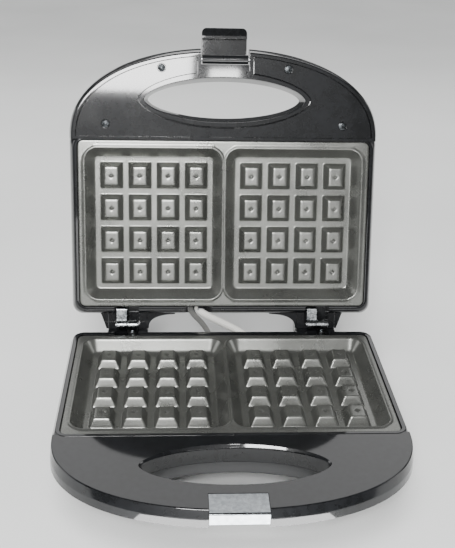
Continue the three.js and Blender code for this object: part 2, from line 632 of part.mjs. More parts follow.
// Latch in its hooked position: a barrel on the pin, an arm out over the edge, a leg down and a hook under.
function latchClip() {
  const inner = -143.4;
  const outer = inner - 2.5;
  const catchEdge = CATCH_BOTTOM - 0.5;
  const tip = LATCH_Z - 24.5;
  const arm = LATCH_Z + 1.3;
  const outline = [
    [LATCH_Y, LATCH_Z - 1.3],
    [LATCH_Y, arm],
    [outer + 1, arm],
    [outer, arm - 1],
    [outer, tip + 1.5],
    [outer + 1, tip],
    [inner + 1, tip],
    [inner + 3.4, catchEdge - 2.5],
    [inner + 3.4, catchEdge],
    [inner, catchEdge],
    [inner, LATCH_Z - 1.3],
  ];
  const leg = profile(outline, -LATCH_HALF_X, LATCH_HALF_X);
  const barrel = crossRod(-LATCH_HALF_X, LATCH_HALF_X, LATCH_Y, LATCH_Z, 3.5, 20);
  const bore = crossRod(-30, 30, LATCH_Y, LATCH_Z, PIN_RADIUS + 0.1, 16);
  return cut(join(leg, barrel), bore);
}

function pinBar(x0, x1, y, z) {
  return crossRod(x0, x1, y, z, PIN_RADIUS, 16);
}

// ---- Hinges ----

const KNUCKLES = [[-84.5, -76.4], [-76, -68], [68, 76], [76.4, 84.5]];
const LEAF_THICK = 1.8;
const LEAF_SCREW_Z = -7.2;
const LEAF_FRONT = 67; // front end of the lid leaf
const SOLE_Z = -15; // underside of the base leaf's foot

function knuckle([x0, x1]) {
  return crossRod(x0, x1, HINGE_Y, HINGE_Z, KNUCKLE_RADIUS, 20);
}

function hingeBore([x0, x1]) {
  return crossRod(x0 - 1, x1 + 1, HINGE_Y, HINGE_Z, PIN_RADIUS + 0.08, 16);
}

// Base leaf: an upright under the knuckle, held by a screw, with a foot on the floor of the lobe.
function baseLeaf(span) {
  const [x0, x1] = span;
  const upright = block(x0, x1, HINGE_Y - 1.2, HINGE_Y - 1.2 + LEAF_THICK, SOLE_Z, HINGE_Z - 1);
  const sole = block(x0, x1, LEAF_FRONT + 1, HINGE_Y, SOLE_Z, SOLE_Z + LEAF_THICK);
  const screwHole = backHole((x0 + x1) / 2, LEAF_SCREW_Z, 1.3, 70, 90);
  return cut(join(knuckle(span), upright, sole), hingeBore(span), screwHole);
}

// Lid leaf: a strip from the knuckle into the lid, turned up against the inside of the back wall.
function lidLeaf(span) {
  const [x0, x1] = span;
  const stripZ = 1.6;
  const strip = block(x0, x1, LEAF_FRONT, HINGE_Y, stripZ, stripZ + LEAF_THICK);
  const upright = block(x0, x1, LEAF_FRONT, LEAF_FRONT + LEAF_THICK, stripZ, 15.8);
  return cut(join(knuckle(span), strip, upright), hingeBore(span));
}

// A screw along Y with its head at y, facing the front.
function frontScrew(x, y, z) {
  return screw(0, 0, 0, 4.4, 2.4, 1).rotate([-90, 0, 0]).translate([x, y, z]);
}

// ---- Electrical parts ----

function thermostat() {
  const top = PLATE_UNDERSIDE - GAP;
  const can = rod(0, 0, top - 9, top, 8, 20);
  const tabs = [-4, 4].map((x) => block(x - 3, x + 3, -0.4, 0.4, top - 17, top - 8.5));
  return join(can, ...tabs);
}

function thermalFuse() {
  const z = -29;
  const fuse = crossRod(-40, -26, 10, z, 2, 12);
  return join(fuse, crossRod(-48, -18, 10, z, 0.6, 6));
}

function terminalBlock() {
  const z = BASE_BOTTOM + WALL + GAP;
  const body = block(24, 48, 36, 48, z, z + 11);
  const ways = [28, 36, 44].map((x) => backHole(x, z + 5, 1.8, 30, 52));
  return cut(body, ...ways);
}

// Lens with a collar, set in the top of the lid.
function lampLens(x) {
  return join(rod(x, LAMP_Y, 32.6, LID_TOP + 0.6, 3.1, 16, 2.7), rod(x, LAMP_Y, 31.4, 34.1, 4.6, 16));
}

// A lead that crosses from the lid to the base behind the plates.
function wireSleeve(points, radius, steps) {
  const path = new THREE.CatmullRomCurve3(points.map(([x, y, z]) => new THREE.Vector3(x, y, z)));
  return solid(sweep(path, radius, steps, 8));
}

// ---- Assembly ----

const machine = new THREE.Group();

// Adds one named part to a group.
function add(group, name, body, finish) {
  const mesh = new THREE.Mesh(surface(body), new THREE.MeshStandardMaterial(FINISH[finish]));
  mesh.name = name;
  group.add(mesh);
  return mesh;
}

const base = new THREE.Group();
base.position.z = PARTING_HEIGHT;
machine.add(base);

const hinge = new THREE.Group();
hinge.position.set(0, HINGE_Y, HINGE_Z);
hinge.rotation.x = -THREE.MathUtils.degToRad(OPEN_ANGLE);
base.add(hinge);
const lid = new THREE.Group();
lid.position.set(0, -HINGE_Y, -HINGE_Z);
hinge.add(lid);

const latchPivot = new THREE.Group();
latchPivot.position.set(0, LATCH_Y, LATCH_Z);
latchPivot.rotation.x = -THREE.MathUtils.degToRad(LATCH_ANGLE);
lid.add(latchPivot);
const latch = new THREE.Group();
latch.position.set(0, -LATCH_Y, -LATCH_Z);
latchPivot.add(latch);

const lowerPlate = cookingPlate();
const turnOver = (body) => body.rotate([0, 180, 0]);
const SIDES = [["left", 0], ["right", 2]];

add(base, "base_housing", baseHousing(), "gloss");
add(base, "base_bottom_cover", baseCover(), "matt");
add(base, "lower_cooking_plate", lowerPlate, "nonStick");
add(base, "catch_plate", catchPlate(), "chromed");
add(base, "lower_heating_element", heatingElement(), "steel");
add(base, "lower_reflector", reflector(), "aluminised");
add(base, "thermostat", thermostat(), "ceramic");
add(base, "thermal_fuse", thermalFuse(), "steel");
add(base, "terminal_block", terminalBlock(), "ceramic");
FEET.forEach(([x, y], i) => add(base, `foot_${i + 1}`, foot(x, y), "rubber"));
BASE_SCREWS.forEach(([x, y], i) => {
  const headZ = (y > 0 ? BASE_BOTTOM : FRONT_FLOOR) + 2;
  add(base, `bottom_cover_screw_${i + 1}`, screw(x, y, headZ, SKIRT_BOTTOM + 5 - headZ), "zinc");
});
PLATE_SCREWS.forEach(([x, y], i) => {
  const headZ = REFLECTOR_Z - 2;
  add(base, `lower_plate_screw_${i + 1}`, screw(x, y, headZ, PLATE_UNDERSIDE - GAP - headZ), "zinc");
});

add(lid, "lid_housing", lidHousing(), "gloss");
add(lid, "lid_handle_cover", handleCover(), "gloss");
COVER_SCREWS.forEach(([x, y], i) => {
  add(lid, `handle_cover_screw_${i + 1}`, screw(x, y, GAP - 0.1, 11), "zinc");
});
add(lid, "upper_cooking_plate", turnOver(lowerPlate), "nonStick");
add(lid, "upper_heating_element", turnOver(heatingElement()), "steel");
add(lid, "upper_reflector", turnOver(reflector()), "aluminised");
PLATE_SCREWS.forEach(([x, y], i) => {
  const headZ = REFLECTOR_Z - 2;
  const body = screw(x, y, headZ, PLATE_UNDERSIDE - GAP - headZ);
  add(lid, `upper_plate_screw_${i + 1}`, turnOver(body), "zinc");
});
LAMPS.forEach(([colour, x]) => add(lid, `${colour}_lamp_lens`, lampLens(x), `${colour}Lens`));
add(lid, "latch_pin", pinBar(-NOTCH_HALF_X - 2.2, NOTCH_HALF_X + 2.2, LATCH_Y, LATCH_Z), "steel");
add(latch, "latch_clip", latchClip(), "gloss");

for (const [side, first] of SIDES) {
  const [lidSpan, baseSpan] = [KNUCKLES[first], KNUCKLES[first + 1]];
  add(lid, `${side}_hinge_lid_leaf`, lidLeaf(lidSpan), "zinc");
  add(base, `${side}_hinge_base_leaf`, baseLeaf(baseSpan), "zinc");
  add(base, `${side}_hinge_pin`, pinBar(lidSpan[0] - 0.8, baseSpan[1] + 0.8, HINGE_Y, HINGE_Z), "steel");
  const x = (baseSpan[0] + baseSpan[1]) / 2;
  add(base, `${side}_hinge_screw`, frontScrew(x, HINGE_Y - 3.3, LEAF_SCREW_Z), "zinc");
}

const LEAD_ROUTE = [
  [-19.5, 94.6, 10.1],
  [-19, 89, 9],
  [-14, 85, 7],
  [0, 83.5, 0],
  [12, 82, -6],
  [18, 78, -9],
  [19, 67, -9],
];
const SMALL_LEAD_ROUTE = [
  [-25.5, 94.6, 9.5],
  [-25.3, 89, 8.5],
  [-22, 86, 5],
  [-16, 84, -1],
  [-11, 79, -7.5],
  [-10, 67, -9],
];
add(base, "wire_sleeve", wireSleeve(LEAD_ROUTE, 3, 20), "sleeve");
add(base, "earth_lead_sleeve", wireSleeve(SMALL_LEAD_ROUTE, 2.2, 18), "darkSleeve");

// The part's origin is the middle of its footprint on the table.
machine.updateMatrixWorld(true);
const extent = new THREE.Box3().setFromObject(machine, true);
machine.position.y = -(extent.min.y + extent.max.y) / 2;

export default machine;
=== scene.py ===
import json
import math

import bpy
import numpy as np
from mathutils import Matrix, Vector


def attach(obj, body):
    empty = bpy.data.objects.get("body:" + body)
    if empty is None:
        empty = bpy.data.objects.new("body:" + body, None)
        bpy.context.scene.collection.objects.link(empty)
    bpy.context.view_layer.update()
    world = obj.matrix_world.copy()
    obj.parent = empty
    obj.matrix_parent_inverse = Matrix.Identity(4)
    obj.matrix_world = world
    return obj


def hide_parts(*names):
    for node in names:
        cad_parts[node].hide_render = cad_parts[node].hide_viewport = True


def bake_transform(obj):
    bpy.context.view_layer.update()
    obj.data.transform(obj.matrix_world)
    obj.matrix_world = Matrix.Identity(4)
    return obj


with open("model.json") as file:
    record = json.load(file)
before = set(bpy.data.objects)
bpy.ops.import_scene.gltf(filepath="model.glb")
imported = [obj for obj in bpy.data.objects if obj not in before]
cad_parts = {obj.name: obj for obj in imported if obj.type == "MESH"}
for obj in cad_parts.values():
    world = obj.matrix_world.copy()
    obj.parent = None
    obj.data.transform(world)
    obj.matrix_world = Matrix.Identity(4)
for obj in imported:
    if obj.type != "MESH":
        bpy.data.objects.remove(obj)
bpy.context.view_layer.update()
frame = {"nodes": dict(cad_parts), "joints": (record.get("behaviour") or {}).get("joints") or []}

# ---------------------------------------------------------------------------------------------
# Camera, floor and light. A table view from in front and a little above, over pale paper. A softbox
# high in front, to the left, shows in the lid's panel, a strip low in front lights the studs' faces,
# and broad soft light from above, behind and both sides fills the rest.
# ---------------------------------------------------------------------------------------------

camera_data = bpy.data.cameras.new("camera")
camera_data.lens = 59.34  # millimetres, on a frame 36 wide
camera_data.sensor_width = 36
camera_data.clip_start = 0.05
camera_data.clip_end = 30
camera = bpy.data.objects.new("camera", camera_data)
bpy.context.scene.collection.objects.link(camera)
bpy.context.scene.camera = camera
yaw = math.radians(3.67)
pitch = math.radians(25.57)
roll = math.radians(1.66)
ahead = Vector((math.sin(yaw) * math.cos(pitch), math.cos(yaw) * math.cos(pitch), -math.sin(pitch)))
level = Vector((math.cos(yaw), -math.sin(yaw), 0))
upward = level.cross(ahead)
right = math.cos(roll) * level + math.sin(roll) * upward
up = math.cos(roll) * upward - math.sin(roll) * level
turned = Matrix((right, up, -ahead)).transposed().to_4x4()
camera.matrix_world = Matrix.Translation((-0.03793, -0.56428, 0.39545)) @ turned


def linear(code):
    """An sRGB hex colour as linear RGBA: c / 12.92 below 0.04045, else ((c + 0.055) / 1.055) ^ 2.4."""
    values = [int(code[i:i + 2], 16) / 255 for i in (1, 3, 5)]
    return [v / 12.92 if v <= 0.04045 else ((v + 0.055) / 1.055) ** 2.4 for v in values] + [1]


def add(material, kind, inputs=None, **settings):
    """Adds one shader node. inputs maps a socket to a number, a colour or another node's output."""
    node = material.node_tree.nodes.new(kind)
    for key, value in settings.items():
        setattr(node, key, value)
    for key, value in (inputs or {}).items():
        if isinstance(value, bpy.types.NodeSocket):
            material.node_tree.links.new(value, node.inputs[key])
        else:
            node.inputs[key].default_value = value
    return node


def new_material(name, **constants):
    """A material with its principled shader and its object coordinates, constants on its sockets."""
    material = bpy.data.materials.new(name)
    material.use_nodes = True
    shader = material.node_tree.nodes["Principled BSDF"]
    for key, value in constants.items():
        shader.inputs[key.replace("_", " ")].default_value = value
    place = add(material, "ShaderNodeTexCoord").outputs["Object"]
    return material, shader, place


def grained(name, dark, light, rough, grain, depth, patch=0.03, **constants):
    """A finish whose colour drifts from dark to light over patches patch metres wide, whose roughness
    drifts between the two values of rough, and whose skin is a fine grain, grain metres wide and depth
    metres deep."""
    material, shader, place = new_material(name, **constants)
    drift = add(material, "ShaderNodeTexNoise", {"Vector": place, "Scale": 1 / patch, "Detail": 5.0})
    fine = add(material, "ShaderNodeTexNoise", {"Vector": place, "Scale": 1 / grain, "Detail": 3.0})
    mixed = add(material, "ShaderNodeMath", {0: drift.outputs["Fac"], 1: fine.outputs["Fac"]},
                operation="ADD")
    share = add(material, "ShaderNodeMapRange",
                {"Value": mixed.outputs[0], "From Min": 0.75, "From Max": 1.25})
    colour = add(material, "ShaderNodeMix", {"Factor": share.outputs[0], 6: linear(dark), 7: linear(light)},
                 data_type="RGBA")
    sheen = add(material, "ShaderNodeMapRange",
                {"Value": drift.outputs["Fac"], "From Min": 0.3, "From Max": 0.7,
                 "To Min": rough[0], "To Max": rough[1]})
    bump = add(material, "ShaderNodeBump",
               {"Height": fine.outputs["Fac"], "Strength": 1.0, "Distance": depth})
    links = material.node_tree.links
    links.new(colour.outputs[2], shader.inputs["Base Color"])
    links.new(sheen.outputs[0], shader.inputs["Roughness"])
    links.new(bump.outputs[0], shader.inputs["Normal"])
    return material


def light(name, place, target, size, power):
    """A white rectangular soft light at place, facing target: size in metres, power in watts."""
    data = bpy.data.lights.new(name, "AREA")
    data.shape = "RECTANGLE"
    data.size, data.size_y = size
    data.energy = power
    lamp = bpy.data.objects.new(name, data)
    bpy.context.scene.collection.objects.link(lamp)
    lamp.location = place
    lamp.rotation_mode = "QUATERNION"
    lamp.rotation_quaternion = (Vector(target) - Vector(place)).to_track_quat("-Z", "Y")
    lamp.visible_camera = False


# The key lights the left of the lid's panel. The two small cards put a gleam in the latch's notch
# and on the base's skirt.
light("key_softbox", (-0.17, -1.2, 0.86), (-0.05, 0.1, 0.23), (0.36, 0.5), 34)
light("notch_card", (0.073, -1.2, 0.63), (0, 0.1, 0.24), (0.066, 0.05), 0.6)
light("front_strip", (0, -1.25, 0.22), (0, 0, 0.12), (0.9, 0.2), 2.2)
light("back_softbox", (0, 0.9, 0.8), (0, -0.1, 0.05), (1.4, 0.5), 4.5)
light("left_fill", (-1.3, 0.1, 0.6), (0, 0, 0.1), (0.6, 0.9), 5)
light("right_fill", (1.3, -0.1, 0.7), (0, 0, 0.1), (0.5, 0.8), 4)
light("low_card", (0, -0.235, 0.002), (0, -0.235, 1), (0.2, 0.1), 1.2)

# A sun as wide as a large diffuser evens out the floor. It stays out of reflections, where its disc
# would show in the gloss.
overhead = bpy.data.objects.new("overhead", bpy.data.lights.new("overhead", "SUN"))
overhead.data.energy = 2.6
overhead.data.angle = 0.7  # radians across
overhead.visible_glossy = False
overhead.rotation_euler = (math.radians(16), math.radians(-8), 0)
bpy.context.scene.collection.objects.link(overhead)

world = bpy.data.worlds.new("studio")
bpy.context.scene.world = world
world.use_nodes = True
world.node_tree.nodes["Background"].inputs["Color"].default_value = linear("#c9ccd0")
world.node_tree.nodes["Background"].inputs["Strength"].default_value = 0.1

# Uncoated paper: the faint tooth breaks the shadow's edge, and the slow drift keeps it from looking printed.
paper = grained("paper_floor", "#dcdddc", "#e4e5e4", (0.75, 0.9), 0.0012, 0.00002, patch=0.25)
FLOOR = 4  # half the paper's width, in metres
floor_mesh = bpy.data.meshes.new("floor")
floor_corners = [(-FLOOR, -FLOOR, 0), (FLOOR, -FLOOR, 0), (FLOOR, FLOOR, 0), (-FLOOR, FLOOR, 0)]
floor_mesh.from_pydata(floor_corners, [], [(0, 1, 2, 3)])
floor_mesh.materials.append(paper)
floor = bpy.data.objects.new("floor", floor_mesh)
bpy.context.scene.collection.objects.link(floor)

# ---------------------------------------------------------------------------------------------
# Base housing: the black moulded deck and skirt. A lip stands round the cooking plate, the D-shaped
# front falls slightly to a crease, a chamfer and a short skirt, with a pointed finger opening.
# Everything is drawn closed, in millimetres from the middle of the plates, Z from the parting plane.
# ---------------------------------------------------------------------------------------------

joints = {joint["name"]: joint for joint in frame["joints"]}
hinge_at = Vector(joints["lid_hinge"]["pos_m"])
open_angle = math.radians(joints["lid_hinge"]["range_deg"][1])
latch_angle = math.radians(joints["latch_hinge"]["range_deg"][1])
HINGE = Vector((0, 80.1, 0.5))  # a point on the lid hinge's axis
LATCH = Vector((0, -127, 4.5))  # and one on the latch pin's
to_metres = Matrix.Scale(0.001, 4) @ Matrix.Translation(-HINGE)
base_place = Matrix.Translation(hinge_at) @ to_metres
lid_place = Matrix.Translation(hinge_at) @ Matrix.Rotation(-open_angle, 4, "X") @ to_metres
latch_turn = Matrix.Translation(LATCH) @ Matrix.Rotation(-latch_angle, 4, "X") @ Matrix.Translation(-LATCH)
latch_place = lid_place @ latch_turn

TRAY_X = 116.5  # half the tray's width
TRAY_FRONT = -68
TRAY_BACK = 69.5
TRAY_Y = (TRAY_BACK - TRAY_FRONT) / 2
TRAY_MIDDLE = (TRAY_FRONT + TRAY_BACK) / 2
EAR_X = 117.6  # half the width of the D-shaped front
FALL = 0.038  # the deck's fall towards the front
GRIP_Y = -97.2  # middle line of the base's finger opening
PLATE_OPENING = (113.6, 65.7)  # half sizes of the hole the cooking plate drops into
OUTSIDE = -150  # beyond the front edge


def ring_faces(count, rings, closed=True):
    """Quads between rings of count points, with an n-gon on each end."""
    faces = []
    for k in range(rings - 1):
        for i in range(count):
            j = (i + 1) % count
            faces.append((k * count + i, k * count + j, (k + 1) * count + j, (k + 1) * count + i))
    if closed:
        faces.append(tuple(reversed(range(count))))
        faces.append(tuple((rings - 1) * count + i for i in range(count)))
    return faces


def mesh_of(verts, faces):
    """A mesh from numpy points in millimetres."""
    mesh = bpy.data.meshes.new("part")
    mesh.from_pydata(np.asarray(verts, float).tolist(), [], faces)
    mesh.update()
    return mesh


def rectangle(half_x, half_y, radius, steps=10):
    """Rounded rectangle about the origin, counter-clockwise: each corner is a quarter circle."""
    points = []
    for quarter, (sx, sy) in enumerate([(1, 1), (-1, 1), (-1, -1), (1, -1)]):
        for i in range(steps + 1):
            angle = (quarter + i / steps) * math.pi / 2
            points.append((sx * (half_x - radius) + radius * math.cos(angle),
                           sy * (half_y - radius) + radius * math.sin(angle)))
    return np.array(points)


def front(steps=180):
    """Half of the curve |x|^2.2 + |y|^2.2 = 1 on the -y side, closed a little behind the ear line."""
    angle = np.pi * np.arange(steps + 1) / steps
    cosine, sine = np.cos(angle), np.maximum(np.sin(angle), 0)
    curve = np.stack([-np.sign(cosine) * np.abs(cosine) ** (2 / 2.2), -sine ** (2 / 2.2)], 1)
    return np.concatenate([[[1, 0.03], [-1, 0.03]], curve])


def grip(steps=72):
    """The finger opening y = (1 - x^2)^0.6, both halves, drawn with x = cos t so that y = sin(t)^1.2."""
    angle = 2 * np.pi * np.arange(2 * steps) / (2 * steps)
    sine = np.sin(angle)
    return np.stack([np.cos(angle), np.sign(sine) * np.abs(sine) ** 1.2], 1)


def soften(levels, reach, steps=4):
    """Rounds each inner corner of a list of levels by a quadratic curve, reach mm long on each side."""
    levels = [np.array(level, float) for level in levels]
    out = [levels[0]]
    for before, corner, after in zip(levels, levels[1:], levels[2:]):
        back = before - corner
        forth = after - corner
        start = corner + back * min(0.45, reach / np.hypot(back[0], back[1]))
        end = corner + forth * min(0.45, reach / np.hypot(forth[0], forth[1]))
        for k in range(steps + 1):
            t = k / steps
            out.append((1 - t) ** 2 * start + 2 * t * (1 - t) * corner + t ** 2 * end)
    return out + [levels[-1]]


def loft(shape, middle, levels):
    """A unit shape raised through levels (z, half x, half y), about the line y = middle. A fourth value
    in a level is its share of the deck's slope, by which z drops towards the front."""
    rings = []
    for z, half_x, half_y, *share in levels:
        x = shape[:, 0] * half_x
        y = middle + shape[:, 1] * half_y
        drop = share[0] * FALL * (TRAY_FRONT - y) if share else 0
        rings.append(np.stack([x, y, z - drop + 0 * x], 1))
    return mesh_of(np.concatenate(rings), ring_faces(len(shape), len(rings)))


def tray(levels, corner=8):
    """The tray's rounded rectangle raised through levels."""
    shape = rectangle(TRAY_X, TRAY_Y, corner) / [TRAY_X, TRAY_Y]
    return loft(shape, TRAY_MIDDLE, levels)


def block(x0, x1, y0, y1, z0, z1):
    """A plain box, used as a cutter."""
    shape = np.array([(1, 1), (-1, 1), (-1, -1), (1, -1)])
    mesh = loft(shape, 0, [(z0, (x1 - x0) / 2, (y1 - y0) / 2), (z1, (x1 - x0) / 2, (y1 - y0) / 2)])
    mesh.transform(Matrix.Translation(((x0 + x1) / 2, (y0 + y1) / 2, 0)))
    return mesh


def rod(start, end, radius, sides=32, levels=None):
    """A round bar from start to end. levels lists (distance along it, radius) where it isn't plain."""
    start, end = Vector(start), Vector(end)
    length = (end - start).length
    angle = 2 * np.pi * np.arange(sides) / sides
    shape = np.stack([np.cos(angle), np.sin(angle)], 1)
    mesh = loft(shape, 0, [(at, r, r) for at, r in levels or [(0, radius), (length, radius)]])
    mesh.transform(Matrix.Translation(start) @ (end - start).to_track_quat("Z", "Y").to_matrix().to_4x4())
    return mesh


def combine(mesh, *steps):
    """Joins or cuts closed meshes in turn. Each step is ("UNION" or "DIFFERENCE" or "INTERSECT", mesh)."""
    work = bpy.data.objects.new("work", mesh)
    bpy.context.scene.collection.objects.link(work)
    tools = [work]
    for operation, other in steps:
        tool = bpy.data.objects.new("tool", other)
        bpy.context.scene.collection.objects.link(tool)
        modifier = work.modifiers.new("boolean", "BOOLEAN")
        modifier.object = tool
        modifier.operation = operation
        modifier.solver = "MANIFOLD"
        tools.append(tool)
    bpy.context.view_layer.update()
    graph = bpy.context.evaluated_depsgraph_get()
    result = bpy.data.meshes.new_from_object(work.evaluated_get(graph))
    for tool in tools:
        bpy.data.objects.remove(tool)
    return result


def piece(name, mesh, place, body, material, nodes, crease=28, weighted=True):
    """Sets a finished mesh in the shared frame, smooth but for creases sharper than crease degrees,
    riding on body in place of the CAD nodes."""
    mesh.transform(place)
    mesh.name = name
    mesh.materials.clear()
    mesh.materials.append(material)
    mesh.shade_smooth()
    mesh.set_sharp_from_angle(angle=math.radians(crease))
    thing = bpy.data.objects.new(name, mesh)
    bpy.context.scene.collection.objects.link(thing)
    if weighted:
        normals = thing.modifiers.new("normals", "WEIGHTED_NORMAL")
        normals.keep_sharp = True
    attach(thing, body)
    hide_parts(*nodes)
    return thing


# Polished black ABS: deep, nearly mirror-like, with the faint ripple and haze of a moulded face that
# has been wiped many times.
gloss_black = grained("gloss_black_abs", "#0a0b0c", "#141517", (0.34, 0.5), 0.004, 0.000003, patch=0.03,
                      IOR=1.54, Specular_IOR_Level=0.1, Coat_Weight=1.0, Coat_Roughness=0.05, Coat_IOR=1.5)

LOBE_SLOPE = math.tan(math.pi / 2 - open_angle / 2)
LOBE_X = (60, 92)
LOBE_ROOT = 63.5
LOBE_BACK = 93
LOBE_LOW = -27
LOBE_TOP = -7
LOBE_EASE = 0.8  # how far the ends' edges are eased
STOP_CLEARANCE = 0.25


def lobe(side, lid=False):
    """Hinge lobe in side view: a block whose slanted back, at half the opening angle to the parting
    plane, is the stop that the lid rests on. Heights are measured from the hinge's axis."""
    slant_start = HINGE[1] - LOBE_TOP * LOBE_SLOPE - STOP_CLEARANCE
    slant_end = -(LOBE_BACK + STOP_CLEARANCE - HINGE[1]) / LOBE_SLOPE
    outline = np.array([
        (LOBE_ROOT, LOBE_LOW), (85, LOBE_LOW), (88, -26.6), (91, -25), (92.6, -23), (LOBE_BACK, -20),
        (LOBE_BACK, slant_end), (slant_start, LOBE_TOP), (LOBE_ROOT, LOBE_TOP),
    ])
    inward = np.sign(outline.mean(0) - outline)
    x0, x1 = LOBE_X
    levels = [(x0, LOBE_EASE), (x0 + LOBE_EASE, 0), (x1 - LOBE_EASE, 0), (x1, LOBE_EASE)]
    rings = [np.column_stack([np.full(len(outline), x), outline + ease * inward]) for x, ease in levels]
    mesh = mesh_of(np.concatenate(rings), ring_faces(len(outline), len(levels)))
    if side < 0:
        mesh.transform(Matrix.Translation((-x0 - x1, 0, 0)))
    mesh.transform(Matrix.Translation((0, 0, HINGE[2])))
    if lid:
        turn = Matrix.Translation((0, 0, HINGE[2])) @ Matrix.Rotation(math.pi, 4, "Y")
        mesh.transform(turn @ Matrix.Translation((0, 0, -HINGE[2])))
    return mesh


def cross_rod(x0, x1, axis, radius, sides=32, levels=None):
    """A round bar across the machine from x0 to x1, about a pivot's axis."""
    return rod((x0, axis[1], axis[2]), (x1, axis[1], axis[2]), radius, sides, levels)


def leaf_space(side):
    """Room in a lobe for the hinge leaves and for their knuckles to turn in."""
    x0, x1 = sorted((side * 66.5, side * 86))
    room = block(x0, x1, 55.5, 81.6, -15.5, 16.5)
    return combine(room, ("UNION", cross_rod(x0, x1, HINGE, 4.6)))


deck_levels = soften([
    (-13.5, 119, 74, 0),
    (-8.3, 118.7, 73.2, 0),
    (-0.6, 117.6, 70, 1),
    (-0.6, 112, 64, 1),
], 0.7)
lip_levels = soften([
    (-13.5, TRAY_X + 3.5, TRAY_Y + 3.5),
    (-6, TRAY_X + 2.4, TRAY_Y + 2.4),
    (-0.3, TRAY_X, TRAY_Y),
    (-0.3, TRAY_X - 3, TRAY_Y - 3),
], 0.5)
opening_shape = rectangle(*PLATE_OPENING, 5.4) / PLATE_OPENING
grip_base = loft(grip(), GRIP_Y, [
    (-30, 59.5, 18.4),
    (-3.6, 59.5, 18.4),
    (-2.6, 59.9, 18.8),
    (-1.9, 60.6, 19.5),
    (4, 64, 23),
])
CATCH_SEAT_X = 18.3  # half the width of the seat for the catch strip
base_shell = combine(
    tray(lip_levels),
    ("UNION", loft(front(), TRAY_FRONT, deck_levels)),
    ("UNION", lobe(-1)),
    ("UNION", lobe(1)),
    ("DIFFERENCE", loft(opening_shape, 0, [(-40, *PLATE_OPENING), (9, *PLATE_OPENING)])),
    ("DIFFERENCE", grip_base),
    ("DIFFERENCE", leaf_space(-1)),
    ("DIFFERENCE", leaf_space(1)),
    ("DIFFERENCE", block(-CATCH_SEAT_X, CATCH_SEAT_X, OUTSIDE, -123.7, -4.5, 5)),
    ("DIFFERENCE", block(-CATCH_SEAT_X, CATCH_SEAT_X, OUTSIDE, -140.7, -20, 5)),
    ("DIFFERENCE", block(-CATCH_SEAT_X, CATCH_SEAT_X, OUTSIDE, -137.7, -20, -10.9)),
    ("DIFFERENCE", rod((19, 60, -9), (19, 90, -9), 3.8)),
    ("DIFFERENCE", rod((-10, 60, -9), (-10, 90, -9), 3.0)),
)
piece("base_deck_shell", base_shell, base_place, "base", gloss_black, ["base_housing"])

# ---------------------------------------------------------------------------------------------
# Bottom cover: a matt bowl under the plate and a shallow pan under the handle front, held by four
# screws, with vent slots in its floor, an outlet hole for the mains cord and four rubber feet.
# ---------------------------------------------------------------------------------------------

# Spark-eroded black ABS: an even, dry, sandy grain that scatters light, so the underside reads flat.
matt_black = grained("textured_black_abs", "#151617", "#1d1e1f", (0.5, 0.66), 0.0007, 0.00003, patch=0.04,
                     IOR=1.54)

bowl_levels = soften([
    (-40, 100, 53),
    (-40, 104, 57),
    (-34, 110, 63),
    (-24, 114, 66.5),
    (-13.8, 116, 67.5),
], 2.5)
pan_levels = soften([(-23, 102, 56), (-23, 106, 59), (-20, 110, 64), (-13.8, 113, 67)], 1.5)
SOLE_Z = -46  # underside of the feet
BASE_SCREWS = [(-104, 58, -40), (104, 58, -40), (-86, -96, -23), (86, -96, -23)]
cover_cuts = []
for x, y, z in BASE_SCREWS:
    cover_cuts.append(("DIFFERENCE", rod((x, y, SOLE_Z), (x, y, z + 4), 3.3)))
    cover_cuts.append(("DIFFERENCE", rod((x, y, SOLE_Z), (x, y, -9), 1.8)))
for x in (-24, -12, 0, 12, 24):
    cover_cuts.append(("DIFFERENCE", block(x - 2, x + 2, -22, 22, SOLE_Z, -36.4)))
for side in (-1, 1):
    x0, x1 = sorted((side * 59.7, side * 92.3))
    cover_cuts.append(("DIFFERENCE", block(x0, x1, 63.2, 95, -27.2, -6)))
pan_inside = [(-20.4, 103.4, 56.4), (-18, 107.4, 61.4), (-10, 110.4, 64.4)]
finger_hole = [(SOLE_Z, 60.5, 19.4), (-23, 60.2, 19.1), (-22, 59.5, 18.4), (-5, 59.5, 18.4)]
front_pan = combine(
    loft(front(), TRAY_FRONT, pan_levels),
    ("DIFFERENCE", loft(front(), TRAY_FRONT, pan_inside)),
    ("UNION", loft(grip(), GRIP_Y, [(-22.5, 61.9, 20.8), (-13.8, 61.9, 20.8)])),
    ("DIFFERENCE", tray([(-41, 107, 57), (-34, 109, 62), (-24, 113, 65.5), (-10, 115, 66.5)])),
)
cover_shell = combine(
    tray(bowl_levels),
    ("DIFFERENCE", tray([(-37.4, 101.4, 54.4), (-34, 107.4, 60.4), (-24, 111.4, 63.9), (-10, 113.4, 64.9)])),
    ("UNION", front_pan),
    ("DIFFERENCE", loft(grip(), GRIP_Y, finger_hole)),
    ("DIFFERENCE", block(-21, 21, OUTSIDE, -128, -30, -10)),
    ("DIFFERENCE", rod((40, 55, -24), (40, 80, -24), 4.2)),
    *cover_cuts,
)
piece("bottom_cover", cover_shell, base_place, "base", matt_black, ["base_bottom_cover"])

# Moulded rubber, dull and a little dusty in its pores.
rubber = grained("black_rubber", "#131313", "#1e1d1c", (0.78, 0.92), 0.0005, 0.00004, patch=0.01)
foot_levels = [(0, 7.2), (0.3, 8), (1.2, 8.6), (5.2, 9.5), (5.7, 9.2), (5.7, 1.9), (10, 1.9)]
for number, (x, y) in enumerate([(-88, 47), (88, 47), (-84, -50), (84, -50)], 1):
    foot = rod((x, y, SOLE_Z), (x, y, -36), 9, 48, foot_levels)
    piece(f"rubber_foot_{number}", foot, base_place, "base", rubber, [f"foot_{number}"])


